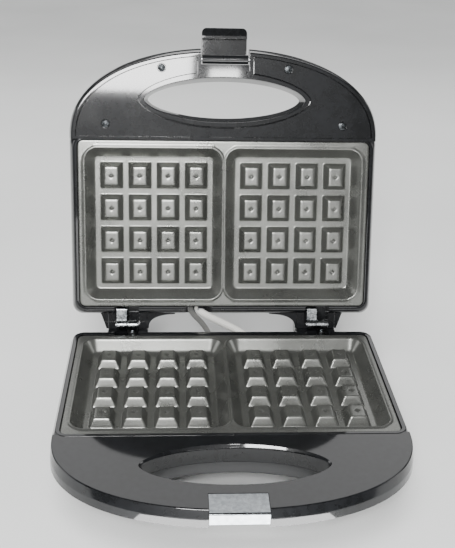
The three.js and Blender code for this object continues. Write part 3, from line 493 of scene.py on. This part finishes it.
def screw(radius, length, shank):
    """Cross-head screw: a domed head whose top is z = dome (1 - (r / R)^2) less the recess, two crossed
    slots with sloping walls that fade out towards the rim, and a shank with the thread's rings."""
    sides = 64
    dome = 0.45
    head = 1.1
    half_pitch = 0.5
    root = 0.82  # the thread's root over its crest
    angle = 2 * np.pi * np.arange(sides) / sides
    rings = []
    for share in np.concatenate([np.linspace(0.02, 0.62, 14), [0.7, 0.8, 0.88, 0.94, 0.98, 1.0]]):
        x = share * radius * np.cos(angle)
        y = share * radius * np.sin(angle)
        across = np.minimum(np.abs(x), np.abs(y)) / radius
        out = np.maximum(np.abs(x), np.abs(y)) / radius
        recess = np.clip((0.17 - across) / 0.05, 0, 1) * np.clip((0.62 - out) / 0.08, 0, 1)
        top = dome * (1 - share ** 2) - recess
        rings.append(np.stack([x, y, head + top], 1))
    for z, r in [(0.75, 1.0), (0.0, 0.97)]:
        rings.append(np.stack([r * radius * np.cos(angle), r * radius * np.sin(angle), z + 0 * angle], 1))
    for k in range(int(length / half_pitch)):
        r = shank * (1 if k % 2 else root)
        rings.append(np.stack([r * np.cos(angle), r * np.sin(angle), -half_pitch * k + 0 * angle], 1))
    return mesh_of(np.concatenate(rings), [face[::-1] for face in ring_faces(sides, len(rings))])


def place_screw(name, mesh, at, turn, place, body, node, plate):
    """Turns a screw to its hole at the point at, in the metal finish plate."""
    mesh.transform(Matrix.Translation(at) @ turn)
    piece(name, mesh, place, body, plate, [node], crease=40)


# Bright zinc plate on steel: a soft metal shine with cloudy grey spangle.
zinc = grained("bright_zinc_plate", "#5f6264", "#a4a7a8", (0.2, 0.34), 0.0015, 0.000006, patch=0.006,
               Metallic=1.0)
downward = Matrix.Rotation(math.pi, 4, "X")
for number, (x, y, z) in enumerate(BASE_SCREWS, 1):
    place_screw(f"cover_screw_{number}", screw(2.9, 12, 1.1), (x, y, z + 3.6), downward, base_place, "base",
                f"bottom_cover_screw_{number}", zinc)

# ---------------------------------------------------------------------------------------------
# Lower cooking plate: die-cast aluminium with two pans, a low bead round each, and a grid of
# four-sided studs with a small conical pit in each top, all under a sprayed non-stick coat.
# ---------------------------------------------------------------------------------------------

WELL_X = 54.61  # from the middle to each well's centre
STUD_X = 22  # from stud to stud across
STUD_Y = 25.25  # and along
STUD_BASE = (8.75, 10.25)  # half sizes of a stud at its foot
FLANGE_Z = -1.0


def smooth_top(a, b, k):
    """The larger of a and b, with the corner between them rounded over a height k."""
    h = np.clip(0.5 + 0.5 * (a - b) / k, 0, 1)
    return b + (a - b) * h + k * h * (1 - h)


def plate_height(x, y):
    """Height of the cooking face at each point: the flange at -1, a half-round bead 0.7 high, walls that
    fall 8.3 over 6.6, a flat floor, and a truncated pyramid at each point of the grid."""
    z = np.full_like(x, FLANGE_Z)
    wells = []
    for side in (-1, 1):
        u = x - side * WELL_X
        corner_x = np.abs(u) - 43
        corner_y = np.abs(y) - 49.2
        outside = np.hypot(np.maximum(corner_x, 0), np.maximum(corner_y, 0))
        rim = outside + np.minimum(np.maximum(corner_x, corner_y), 0) - 10
        bead = FLANGE_Z + 0.7 * np.sqrt(np.clip(1 - ((rim - 0.8) / 1.1) ** 2, 0, 1))
        z = np.maximum(z, bead)
        wall = FLANGE_Z + 8.3 / 6.6 * rim
        floor = smooth_top(wall, np.full_like(x, -9.3), 1.1)
        du = u - STUD_X * np.clip(np.round(u / STUD_X - 0.5) + 0.5, -1.5, 1.5)
        dv = y - STUD_Y * np.clip(np.round(y / STUD_Y - 0.5) + 0.5, -1.5, 1.5)
        slope_x = -9.8 + 7.5 / 3.55 * (STUD_BASE[0] - np.abs(du))
        slope_y = -9.8 + 7.5 / 3.25 * (STUD_BASE[1] - np.abs(dv))
        sides = -smooth_top(-slope_x, -slope_y, 1.3)
        stud = -smooth_top(-sides, np.full_like(x, 2.3), 0.9)
        stud = stud - 1.2 * np.clip(1 - np.hypot(du, dv) / 1.7, 0, 1)
        inner = smooth_top(floor, stud, 0.8)
        wells.append((rim < 0, np.minimum(inner, -0.55)))
    for inside, depth in wells:
        z = np.where(inside, depth, z)
    return z


def spans(*parts):
    """Grid lines: each part is (start, end, step)."""
    lines = []
    for start, end, step in parts:
        count = max(1, int(round((end - start) / step)))
        lines += [start + (end - start) * i / count for i in range(count)]
    return lines


def well_lines(centre, half, pitch, base, top):
    """Lines across a well: close together on the walls, on the studs' sides and at their pits."""
    low = centre - half
    high = centre + half
    wall = 8
    lines = spans((low - 2.4, low - 0.2, 0.45), (low - 0.2, low + wall, 0.6))
    first = centre - 1.5 * pitch - base - 0.9
    if first > low + wall:
        lines += spans((low + wall, first, 1.2))
    for k in range(4):
        at = centre + (k - 1.5) * pitch
        foot = base + 0.9
        brow = top - 0.6
        pit = 1.8
        lines += spans((at - foot, at - brow, 0.52), (at - brow, at - pit, 1.6), (at - pit, at + pit, 0.45))
        lines += spans((at + pit, at + brow, 1.6), (at + brow, at + foot, 0.52))
        if k < 3:
            lines += spans((at + foot, at + pitch - foot, 1.4))
    last = centre + 1.5 * pitch + base + 0.9
    if last < high - wall:
        lines += spans((last, high - wall, 1.2))
    return lines + spans((high - wall, high + 0.2, 0.6), (high + 0.2, high + 2.4, 0.45))


def cooking_plate():
    """The height field over a tensor grid, its four corners drawn in to quarter circles of 5 mm, closed
    below by the flange's edge and one stepped underside that clears both pans."""
    half_x, half_y, corner = 113.2, 65.3, 5
    across = []
    for centre in (-WELL_X, WELL_X):
        across += well_lines(centre, 53, STUD_X, STUD_BASE[0], 5.2)
    along = well_lines(0, 59.2, STUD_Y, STUD_BASE[1], 7.0)
    edge = np.array([0, 0.35, 0.8, 1.6, 2.6, 3.8, corner])
    grid = []
    for half, lines in ((half_x, across), (half_y, along)):
        lines = np.array(sorted(set(np.round(lines, 3))))
        inner = lines[np.abs(lines) < half - corner - 0.2]
        grid.append(np.concatenate([-half + edge, inner, half - edge[::-1]]))
    x, y = np.meshgrid(*grid, indexing="ij")
    z = plate_height(x, y)
    inset = np.minimum(half_x - np.abs(x), half_y - np.abs(y))
    z = z - 0.35 * np.clip(1 - inset / 0.8, 0, 1) ** 2
    u = np.clip((np.abs(x) - (half_x - corner)) / corner, 0, 1)
    v = np.clip((np.abs(y) - (half_y - corner)) / corner, 0, 1)
    both = (u > 0) & (v > 0)
    x = np.where(both, np.sign(x) * (half_x - corner + corner * u * np.sqrt(1 - v ** 2 / 2)), x)
    y = np.where(both, np.sign(y) * (half_y - corner + corner * v * np.sqrt(1 - u ** 2 / 2)), y)
    m, n = x.shape
    verts = np.stack([x, y, z], 2).reshape(-1, 3)
    index = np.arange(m * n).reshape(m, n)
    quads = np.stack([index[:-1, :-1], index[1:, :-1], index[1:, 1:], index[:-1, 1:]], 2).reshape(-1, 4)
    loop = np.concatenate([index[:-1, 0], index[-1, :-1], index[:0:-1, -1], index[0, :0:-1]])
    faces = [tuple(q) for q in quads.tolist()]
    rim = verts[loop]
    count = len(loop)
    previous = loop
    total = len(verts)
    stacks = [verts]
    for depth, reach_x, reach_y in [(-3.8, half_x, half_y), (-3.9, 110.4, 62), (-12.1, 103.8, 55.4)]:
        ring = rim * [reach_x / half_x, reach_y / half_y, 0] + [0, 0, depth]
        stacks.append(ring)
        current = np.arange(total, total + count)
        for i in range(count):
            j = (i + 1) % count
            faces.append((int(previous[i]), int(current[i]), int(current[j]), int(previous[j])))
        previous = current
        total += count
    faces.append(tuple(int(i) for i in previous[::-1]))
    return mesh_of(np.concatenate(stacks), faces)


def non_stick_coat():
    """Sprayed non-stick coating on cast aluminium: dark grey, satin, with a fine fleck of lighter
    particles and a slow drift in sheen where it has been wiped and heated."""
    material, shader, place = new_material("non_stick_coat", Metallic=0.8)
    drift = add(material, "ShaderNodeTexNoise", {"Vector": place, "Scale": 28.0, "Detail": 6.0})
    fleck = add(material, "ShaderNodeTexVoronoi", {"Vector": place, "Scale": 1600.0})
    grain = add(material, "ShaderNodeTexNoise", {"Vector": place, "Scale": 1500.0, "Detail": 3.0})
    spots = add(material, "ShaderNodeMapRange",
                {"Value": fleck.outputs["Distance"], "From Min": 0.12, "From Max": 0.3,
                 "To Min": 1.0, "To Max": 0.0})
    ground = add(material, "ShaderNodeMix",
                 {"Factor": drift.outputs["Fac"], 6: linear("#595a57"), 7: linear("#7b7c78")},
                 data_type="RGBA")
    colour = add(material, "ShaderNodeMix",
                 {"Factor": spots.outputs[0], 6: ground.outputs[2], 7: linear("#a0a19e")},
                 data_type="RGBA")
    sheen = add(material, "ShaderNodeMapRange",
                {"Value": drift.outputs["Fac"], "From Min": 0.3, "From Max": 0.7,
                 "To Min": 0.24, "To Max": 0.34})
    bump = add(material, "ShaderNodeBump",
               {"Height": grain.outputs["Fac"], "Strength": 1.0, "Distance": 0.00002})
    links = material.node_tree.links
    links.new(colour.outputs[2], shader.inputs["Base Color"])
    links.new(sheen.outputs[0], shader.inputs["Roughness"])
    links.new(bump.outputs[0], shader.inputs["Normal"])
    return material


non_stick = non_stick_coat()
piece("lower_waffle_plate", cooking_plate(), base_place, "base", non_stick,
      ["lower_cooking_plate"], crease=55, weighted=False)

# ---------------------------------------------------------------------------------------------
# Heating and wiring inside the shells: bent tubular elements over pressed reflectors, the thermostat,
# its thermal fuse and the terminal block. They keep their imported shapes.
# ---------------------------------------------------------------------------------------------

# Steel tube tempered by heat: straw and grey clouds along it.
heated_steel = grained("heat_tinted_steel", "#6d6862", "#a39a88", (0.3, 0.5), 0.0006, 0.000008, patch=0.012,
                       Metallic=1.0)
# Hot-dip aluminised sheet: pale, cloudy and slightly rough.
aluminised = grained("aluminised_sheet", "#9b9d9f", "#bcbec0", (0.35, 0.5), 0.0009, 0.00001, patch=0.01,
                     Metallic=1.0)
# Steatite: chalky and off-white.
ceramic = grained("steatite", "#d8d2c4", "#e8e3d7", (0.5, 0.7), 0.0005, 0.00001, patch=0.01)
# Turned steel pins: fine rings and a hard shine.
bright_steel = grained("turned_steel", "#8f9193", "#b9babc", (0.2, 0.34), 0.0003, 0.000004, patch=0.004,
                       Metallic=1.0)
kept = {
    "lower_heating_element": heated_steel, "upper_heating_element": heated_steel,
    "lower_reflector": aluminised, "upper_reflector": aluminised,
    "thermostat": ceramic, "terminal_block": ceramic, "thermal_fuse": bright_steel,
    "lower_plate_screw_1": zinc, "lower_plate_screw_2": zinc,
    "upper_plate_screw_1": zinc, "upper_plate_screw_2": zinc,
}
for node, material in kept.items():
    frame["nodes"][node].data.materials.clear()
    frame["nodes"][node].data.materials.append(material)

# ---------------------------------------------------------------------------------------------
# Catch plate: a bright folded strip of sheet steel, let into the middle of the front edge. The
# latch's leg passes down in front of it, and its hook grips it from below.
# ---------------------------------------------------------------------------------------------


def rounded(points, radii, steps=5):
    """A polygon whose corners are replaced by quadratic curves that start radius mm from each corner."""
    points = np.array(points, float)
    out = []
    for i, (corner, radius) in enumerate(zip(points, radii)):
        back = points[i - 1] - corner
        forth = points[(i + 1) % len(points)] - corner
        if radius == 0:
            out.append(corner)
            continue
        start = corner + back * min(0.48, radius / np.hypot(*back))
        end = corner + forth * min(0.48, radius / np.hypot(*forth))
        for k in range(steps + 1):
            t = k / steps
            out.append((1 - t) ** 2 * start + 2 * t * (1 - t) * corner + t ** 2 * end)
    return np.array(out)


def pulled(outline, half_x, bevel=0.3):
    """A side-view outline (y, z) pulled from -half_x to half_x, its two ends eased by bevel."""
    after = np.roll(outline, -1, 0) - outline
    before = outline - np.roll(outline, 1, 0)
    normal = after / (np.linalg.norm(after, axis=1)[:, None] + 1e-9)
    normal = normal + before / (np.linalg.norm(before, axis=1)[:, None] + 1e-9)
    normal = np.stack([normal[:, 1], -normal[:, 0]], 1)
    normal /= np.linalg.norm(normal, axis=1)[:, None]
    rings = []
    for x, shrink in [(-half_x, bevel), (-half_x + bevel * 0.3, bevel * 0.3), (-half_x + bevel, 0),
                      (half_x - bevel, 0), (half_x - bevel * 0.3, bevel * 0.3), (half_x, bevel)]:
        ring = outline - normal * shrink
        rings.append(np.column_stack([np.full(len(ring), x), ring]))
    return mesh_of(np.concatenate(rings), ring_faces(len(outline), len(rings)))


# Polished nickel-chrome on steel: a clean mirror with a faint cloudy haze from handling.
chrome = grained("polished_chrome_plate", "#7e8285", "#9ea2a5", (0.1, 0.2), 0.003, 0.000001, patch=0.03,
                 Metallic=1.0)
catch_outline = rounded(
    [(-124, -2.8), (-142.4, -2.8), (-142.4, -10.9), (-141, -10.9), (-141, -4.2), (-124, -4.2)],
    [0.2, 1.4, 0.3, 0.3, 0.5, 0.2],
)
piece("catch_strip", pulled(catch_outline, 18), base_place, "base", chrome, ["catch_plate"])

# ---------------------------------------------------------------------------------------------
# Hinges: two pressed leaves on each side with knuckles rolled round one pin. The base leaf stands in
# the lobe with a cross-head screw below its knuckle, and the lid leaf runs forward into the lid.
# ---------------------------------------------------------------------------------------------

SPANS = {"left": [(-84.5, -76.4), (-76, -68)], "right": [(68, 76), (76.4, 84.5)]}


def knuckle(x0, x1):
    """A rolled knuckle: a bored barrel with eased ends."""
    width = x1 - x0
    levels = [(0, 3.0), (0.15, 3.25), (0.4, 3.4), (width - 0.4, 3.4), (width - 0.15, 3.25), (width, 3.0)]
    return cross_rod(x0, x1, HINGE, 3.4, 48, levels)


def leaf_part(x0, x1, outline, radii):
    """A leaf's side view with rounded bends, from x0 to x1."""
    mesh = pulled(rounded(outline, radii), (x1 - x0) / 2, 0.2)
    mesh.transform(Matrix.Translation(((x0 + x1) / 2, 0, 0)))
    return mesh


KNUCKLE_BORE = 1.68
facing = Matrix.Rotation(math.pi / 2, 4, "X")
for side, (lid_span, base_span) in SPANS.items():
    x0, x1 = base_span
    middle = (x0 + x1) / 2
    base_leaf = combine(
        leaf_part(x0, x1, [(68, -13.2), (68, -15), (80.7, -15), (80.7, -0.5), (78.9, -0.5), (78.9, -13.2)],
                  [0.3, 0.3, 1.8, 0, 0, 0.8]),
        ("UNION", knuckle(x0, x1)),
        ("DIFFERENCE", cross_rod(x0 - 1, x1 + 1, HINGE, KNUCKLE_BORE)),
        ("DIFFERENCE", rod((middle, 74, -7.2), (middle, 90, -7.2), 1.3)),
    )
    piece(f"{side}_base_leaf", base_leaf, base_place, "base", zinc, [f"{side}_hinge_base_leaf"])
    reach = x1 - lid_span[0]
    pin_levels = [(0, 1.2), (0.3, 1.6), (reach + 1.3, 1.6), (reach + 1.6, 1.2)]
    pin = cross_rod(lid_span[0] - 0.8, x1 + 0.8, HINGE, 1.6, 32, pin_levels)
    piece(f"{side}_pin", pin, base_place, "base", bright_steel, [f"{side}_hinge_pin"])
    place_screw(f"{side}_leaf_screw", screw(2.4, 3, 1), (middle, 78.6, -7.2), facing, base_place, "base",
                f"{side}_hinge_screw", zinc)
    x0, x1 = lid_span
    lid_leaf = combine(
        leaf_part(x0, x1, [(67, 1.6), (80.1, 1.6), (80.1, 3.4), (68.8, 3.4), (68.8, 15.8), (67, 15.8)],
                  [1.8, 0, 0, 0.8, 0.3, 0.3]),
        ("UNION", knuckle(x0, x1)),
        ("DIFFERENCE", cross_rod(x0 - 1, x1 + 1, HINGE, KNUCKLE_BORE)),
    )
    piece(f"{side}_lid_leaf", lid_leaf, lid_place, "lid", zinc, [f"{side}_hinge_lid_leaf"])

# ---------------------------------------------------------------------------------------------
# Lid: a domed tray round the upper plate that runs out into the D-shaped handle, and a flat inner
# panel let into it round the finger opening and the latch notch, held by four screws.
# ---------------------------------------------------------------------------------------------

DOME = [(0.3, -3), (0.3, 0), (6, 2.6), (14, 4), (22, 2.8), (29, -1.5), (34, -8), (37, -18), (37, -40)]
rim_levels = [(z, TRAY_X + out, TRAY_Y + out) for z, out in DOME]
front_levels = [(0.3, EAR_X - 2, 62.5), (0.3, EAR_X, 64.5), (6, EAR_X + 1.8, 66.6), (14, EAR_X + 2.8, 68),
                (19, EAR_X + 0.5, 65.5), (22, EAR_X - 5, 59), (22, EAR_X - 12, 52)]
LID_GRIP = -96.4  # middle line of the lid's finger opening


def web(outline, side):
    """A lobe's web: a flat slab whose outline is seen from above, mirrored for the left side."""
    points = np.array(outline, float) * [side, 1]
    if side < 0:
        points = points[::-1]
    return loft(points, 0, [(8, 1, 1), (20, 1, 1)])


# The inboard web's edge is a hollow quarter curve, x = 38 + 21.2 cos(t)^0.9 and y = 85 - 11.6 sin(t)^0.75.
WEB_ROOT = 70.8
WEB_END = 85
bend = np.linspace(0, math.pi / 2, 14)[1:-1]
inner_web = [(61, WEB_END), (59.2, WEB_END)]
inner_web += [(38 + 21.2 * math.cos(t) ** 0.9, WEB_END - 11.6 * math.sin(t) ** 0.75) for t in bend]
inner_web += [(38, 73.2), (38, WEB_ROOT), (61, WEB_ROOT)]
outer_web = [(91, WEB_ROOT), (99, WEB_ROOT), (97, 73.5), (93, WEB_END), (91, WEB_END)]
dome = tray(soften(rim_levels, 2.4))
handle = loft(front(), TRAY_FRONT, soften(front_levels, 1.2))
seat = combine(
    loft(front(), TRAY_FRONT, [(-1, EAR_X - 3.1, 61.8), (3.5, EAR_X - 3.1, 61.8)]),
    ("INTERSECT", block(-130, 130, OUTSIDE, -68.1, -2, 3.5)),
    ("DIFFERENCE", loft(grip(), LID_GRIP, [(-4, 65.4, 20.4), (6, 65.4, 20.4)])),
    ("DIFFERENCE", block(-21, 21, -152, -114.8, -4, 6)),
)
# The notch for the latch goes right through the shell, and behind it a shallow step is cut into the
# handle's underside.
NOTCH_X = 18.6
NOTCH_BACK = -123.1
STEP_BACK = -118.3
STEP_DEPTH = 1.8
lid_hole = [(-3, 63.4, 18.4), (0.1, 62.6, 17.6), (0.9, 62, 17), (6, 61.5, 16.2), (20.5, 59.6, 14.2),
            (21.4, 60, 14.6), (24, 62, 16.6)]
lid_shell = combine(
    dome,
    ("UNION", handle),
    ("UNION", lobe(-1, True)),
    ("UNION", lobe(1, True)),
    *[("UNION", web(outline, side)) for outline in (inner_web, outer_web) for side in (-1, 1)],
    ("DIFFERENCE", seat),
    ("DIFFERENCE", block(-NOTCH_X, NOTCH_X, -152, NOTCH_BACK, -3, 40)),
    ("DIFFERENCE", block(-NOTCH_X, NOTCH_X, -125, STEP_BACK, -3, STEP_DEPTH)),
    ("DIFFERENCE", loft(grip(), LID_GRIP, lid_hole)),
    ("DIFFERENCE", loft(opening_shape, 0, [(-5, *PLATE_OPENING), (14, *PLATE_OPENING)])),
    ("DIFFERENCE", leaf_space(-1)),
    ("DIFFERENCE", leaf_space(1)),
    ("DIFFERENCE", block(-29.5, -9, 64, 90, -1, 14)),
    ("DIFFERENCE", cross_rod(-22, 22, LATCH, 1.7)),
    ("DIFFERENCE", rod((-13, -36, 30), (-13, -36, 40), 3.4)),
    ("DIFFERENCE", rod((13, -36, 30), (13, -36, 40), 3.4)),
)
piece("lid_shell", lid_shell, lid_place, "lid", gloss_black, ["lid_housing"])

panel_levels = [(0.5, EAR_X - 3.9, 61), (0.65, EAR_X - 3.5, 61.4), (0.95, EAR_X - 3.4, 61.5),
                (3.2, EAR_X - 3.4, 61.5)]
panel_hole = [(-1, 67, 22), (0.4, 66.8, 21.8), (0.9, 66.3, 21.3), (6, 66.3, 21.3)]
panel = combine(
    loft(front(), TRAY_FRONT, panel_levels),
    ("DIFFERENCE", block(-130, 130, -68.4, -50, -5, 10)),
    ("DIFFERENCE", loft(grip(), LID_GRIP, panel_hole)),
    ("DIFFERENCE", block(-22, 22, -152, -114.5, -5, 10)),
)
COVER_SCREWS = [(-48.5, -120), (48.5, -120), (-91.5, -77.5), (91.5, -77.5)]
# A countersunk pocket for the head, then the shank's hole.
pocket = [(0, 3.7), (2.4, 3.6), (2.9, 3.25), (4, 3.2), (4.0, 1.6), (8, 1.6)]
pockets = [("DIFFERENCE", rod((x, y, -2), (x, y, 6), 3.3, 48, pocket)) for x, y in COVER_SCREWS]
panel = combine(panel, *pockets)
piece("handle_panel", panel, lid_place, "lid", gloss_black, ["lid_handle_cover"])
# Black oxide on steel: almost black and oily, with the bright metal rubbed through on the recess edges.
black_oxide = grained("black_oxide_steel", "#121314", "#4c4f51", (0.25, 0.4), 0.0008, 0.00001, patch=0.002,
                      Metallic=1.0)
for number, (x, y) in enumerate(COVER_SCREWS, 1):
    place_screw(f"panel_screw_{number}", screw(2.9, 11, 1.1), (x, y, 2.1), downward, lid_place, "lid",
                f"handle_cover_screw_{number}", black_oxide)

upper = cooking_plate()
upper.transform(Matrix.Rotation(math.pi, 4, "Y"))
piece("upper_waffle_plate", upper, lid_place, "lid", non_stick, ["upper_cooking_plate"],
      crease=55, weighted=False)

# Tinted polycarbonate lenses: clear, glossy and coloured through.
lens_levels = [(0, 4.6), (2.7, 4.6), (2.7, 3.1), (5.1, 3.05), (5.7, 2.8), (6.05, 2.2), (6.2, 1.2)]
for colour, code, x in [("red", "#a81a12", -13), ("green", "#1f7d3a", 13)]:
    lens_material = grained(f"{colour}_polycarbonate", code, code, (0.05, 0.12), 0.002, 0.000002,
                            **{"Transmission Weight": 0.55, "IOR": 1.58})
    lens = rod((x, -36, 31.4), (x, -36, 38), 3, 48, lens_levels)
    piece(f"{colour}_lens", lens, lid_place, "lid", lens_material, [f"{colour}_lamp_lens"])

# ---------------------------------------------------------------------------------------------
# Latch: a moulded clip that turns on a steel pin in the lid's notch. Its leg hangs over the front of
# the base when shut, and its hook grips the catch strip from below.
# ---------------------------------------------------------------------------------------------

pin = cross_rod(-20.8, 20.8, LATCH, 1.6)
piece("clip_pin", pin, lid_place, "lid", bright_steel, ["latch_pin"])
clip_outline = rounded(
    [(-127, 3.2), (-143.4, 3.2), (-143.4, -11.4), (-140, -11.4), (-140, -13.9), (-142.4, -20), (-144.9, -20),
     (-145.9, -18.5), (-145.9, 4.8), (-144.9, 5.8), (-127, 5.8)],
    [0, 0.8, 0.3, 0.5, 0.8, 0.8, 0.6, 0.6, 1.2, 1.2, 0],
)
CLIP_X = 17.6  # half the clip's width
# The clip's face seen from in front is a rectangle with 4 mm corners, which trims the whole clip.
stand_up = Matrix.Rotation(math.pi / 2, 4, "X") @ Matrix.Scale(-1, 4, (0, 0, 1))
clip_face = loft(rectangle(CLIP_X, 16, 4, 12), 0, [(-150, 1, 1), (-118, 1, 1)])
clip_face.transform(Matrix.Translation((0, 0, -4)) @ stand_up)
clip_face.flip_normals()
barrel = [(0, 3.1), (0.4, 3.5), (34.8, 3.5), (35.2, 3.1)]
clip = combine(
    pulled(clip_outline[::-1], CLIP_X, 0.5),
    ("UNION", cross_rod(-CLIP_X, CLIP_X, LATCH, 3.5, 64, barrel)),
    ("DIFFERENCE", cross_rod(-30, 30, LATCH, 1.7)),
    ("INTERSECT", clip_face),
)
piece("clip", clip, latch_place, "latch", gloss_black, ["latch_clip"])

# ---------------------------------------------------------------------------------------------
# Leads between lid and base: two woven glass-fibre sleeves behind the plates, the larger with a
# crimped ferrule where it leaves the lid.
# ---------------------------------------------------------------------------------------------


def woven(name, dark, light, pitch, turns):
    """Braided sleeve: two sets of diagonal yarns, sin(a) and sin(b) of the sleeve's own coordinates,
    pass over and under each other, so the sleeve has a raised diamond pattern. The colour follows the same
    pattern: light on the raised crossings, with painted shade darkening the low gaps."""
    material, shader = new_material(name, Sheen_Weight=0.3)[:2]
    own = add(material, "ShaderNodeUVMap")
    split = add(material, "ShaderNodeSeparateXYZ", {0: own.outputs[0]})
    along = add(material, "ShaderNodeMath", {0: split.outputs[0], 1: 2 * math.pi / pitch},
                operation="MULTIPLY")
    around = add(material, "ShaderNodeMath", {0: split.outputs[1], 1: 2 * math.pi * turns},
                 operation="MULTIPLY")
    waves = []
    for operation in ("ADD", "SUBTRACT"):
        angle = add(material, "ShaderNodeMath", {0: along.outputs[0], 1: around.outputs[0]},
                    operation=operation)
        waves.append(add(material, "ShaderNodeMath", {0: angle.outputs[0]}, operation="SINE"))
    yarn = add(material, "ShaderNodeMath", {0: waves[0].outputs[0], 1: waves[1].outputs[0]},
               operation="MULTIPLY")
    share = add(material, "ShaderNodeMapRange",
                {"Value": yarn.outputs[0], "From Min": -0.8, "From Max": 0.8})
    # Painted shade: the colour runs from dark in the low gaps to light on the crossings, following the
    # bump's height.
    colour = add(material, "ShaderNodeMix", {"Factor": share.outputs[0], 6: linear(dark), 7: linear(light)},
                 data_type="RGBA")
    rough = add(material, "ShaderNodeMapRange", {"Value": share.outputs[0], "To Min": 0.75, "To Max": 0.5})
    bump = add(material, "ShaderNodeBump", {"Height": share.outputs[0], "Strength": 0.8, "Distance": 0.0003})
    links = material.node_tree.links
    links.new(colour.outputs[2], shader.inputs["Base Color"])
    links.new(rough.outputs[0], shader.inputs["Roughness"])
    links.new(bump.outputs[0], shader.inputs["Normal"])
    return material


def sleeve(points, radius, steps=96, sides=32):
    """A round sleeve along a Catmull-Rom curve through points, its UV in millimetres along and turns
    round."""
    points = np.array(points, float)
    padded = np.concatenate([[2 * points[0] - points[1]], points, [2 * points[-1] - points[-2]]])
    path = []
    for i in range(len(points) - 1):
        a, b, c, d = padded[i:i + 4]
        for t in np.linspace(0, 1, steps // (len(points) - 1), endpoint=False):
            path.append(0.5 * (2 * b + (c - a) * t + (2 * a - 5 * b + 4 * c - d) * t ** 2
                               + (3 * b - a - 3 * c + d) * t ** 3))
    path = np.array(path + [points[-1]])
    tangent = np.gradient(path, axis=0)
    tangent /= np.linalg.norm(tangent, axis=1)[:, None]
    side = np.cross(tangent[0], [0, 0, 1])
    rings = []
    for at, t in zip(path, tangent):
        side = side - t * (side @ t)
        side /= np.linalg.norm(side)
        other = np.cross(t, side)
        angle = 2 * np.pi * np.arange(sides) / sides
        rings.append(at + radius * (np.cos(angle)[:, None] * side + np.sin(angle)[:, None] * other))
    mesh = mesh_of(np.concatenate(rings), ring_faces(sides, len(rings)))
    distance = np.concatenate([[0], np.cumsum(np.linalg.norm(np.diff(path, axis=0), axis=1))])
    layer = mesh.uv_layers.new(name="sleeve")
    for polygon in mesh.polygons:
        if polygon.loop_total != 4:
            continue
        first = polygon.vertices[0] % sides
        for loop in polygon.loop_indices:
            vertex = mesh.loops[loop].vertex_index
            turn = vertex % sides
            if first == sides - 1 and turn == 0:
                turn = sides
            layer.data[loop].uv = (distance[vertex // sides], turn / sides)
    return mesh


LEAD = [(-19.5, 94.6, 10.1), (-19, 89, 9), (-14, 85, 7), (0, 83.5, 0), (12, 82, -6), (18, 78, -9),
        (19, 67, -9)]
EARTH = [(-25.5, 94.6, 9.5), (-25.3, 89, 8.5), (-22, 86, 5), (-16, 84, -1), (-11, 79, -7.5),
         (-10, 67, -9)]
# Varnished glass-fibre braid, silver-grey: bright crossing yarns, with painted shade darkening the gaps
# between them.
glass_braid = woven("silver_glass_braid", "#8f8f8b", "#ecebe4", 1.6, 8)
# The same braid in darker greys.
dark_braid = woven("grey_glass_braid", "#2a2a29", "#6a6a67", 1.4, 7)
# Each sleeve is swept along its route and set in the base's place.
for name, route, radius, material, slot, node, held, free in [
    ("lead_sleeve", LEAD, 3.0, glass_braid, "sleeve", "wire_sleeve",
     (15, 80, -8), (-17, 88, 8.5)),
    ("earth_sleeve", EARTH, 2.2, dark_braid, "dark_sleeve", "earth_lead_sleeve",
     (-11, 79, -7.5), (-25, 88, 8)),
]:
    mesh = sleeve(route, radius)
    mesh.transform(base_place)
    mesh.materials.append(material)
    mesh.shade_smooth()
    lead = bpy.data.objects.new(name, mesh)
    bpy.context.scene.collection.objects.link(lead)
    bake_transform(lead)
    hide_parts(node)
# The ferrule is a short aluminium tube with one crimped groove.
crimped = [(0, 3.15), (0.3, 3.4), (2.2, 3.4), (2.5, 3.15), (3.1, 3.15), (3.4, 3.4), (6.4, 3.4), (6.9, 3.1)]
ferrule = rod((-19.4, 93.2, 9.9), (-17.2, 86.6, 8.5), 3.3, 48, crimped)
piece("lead_ferrule", ferrule, base_place, "lid", aluminised, [])
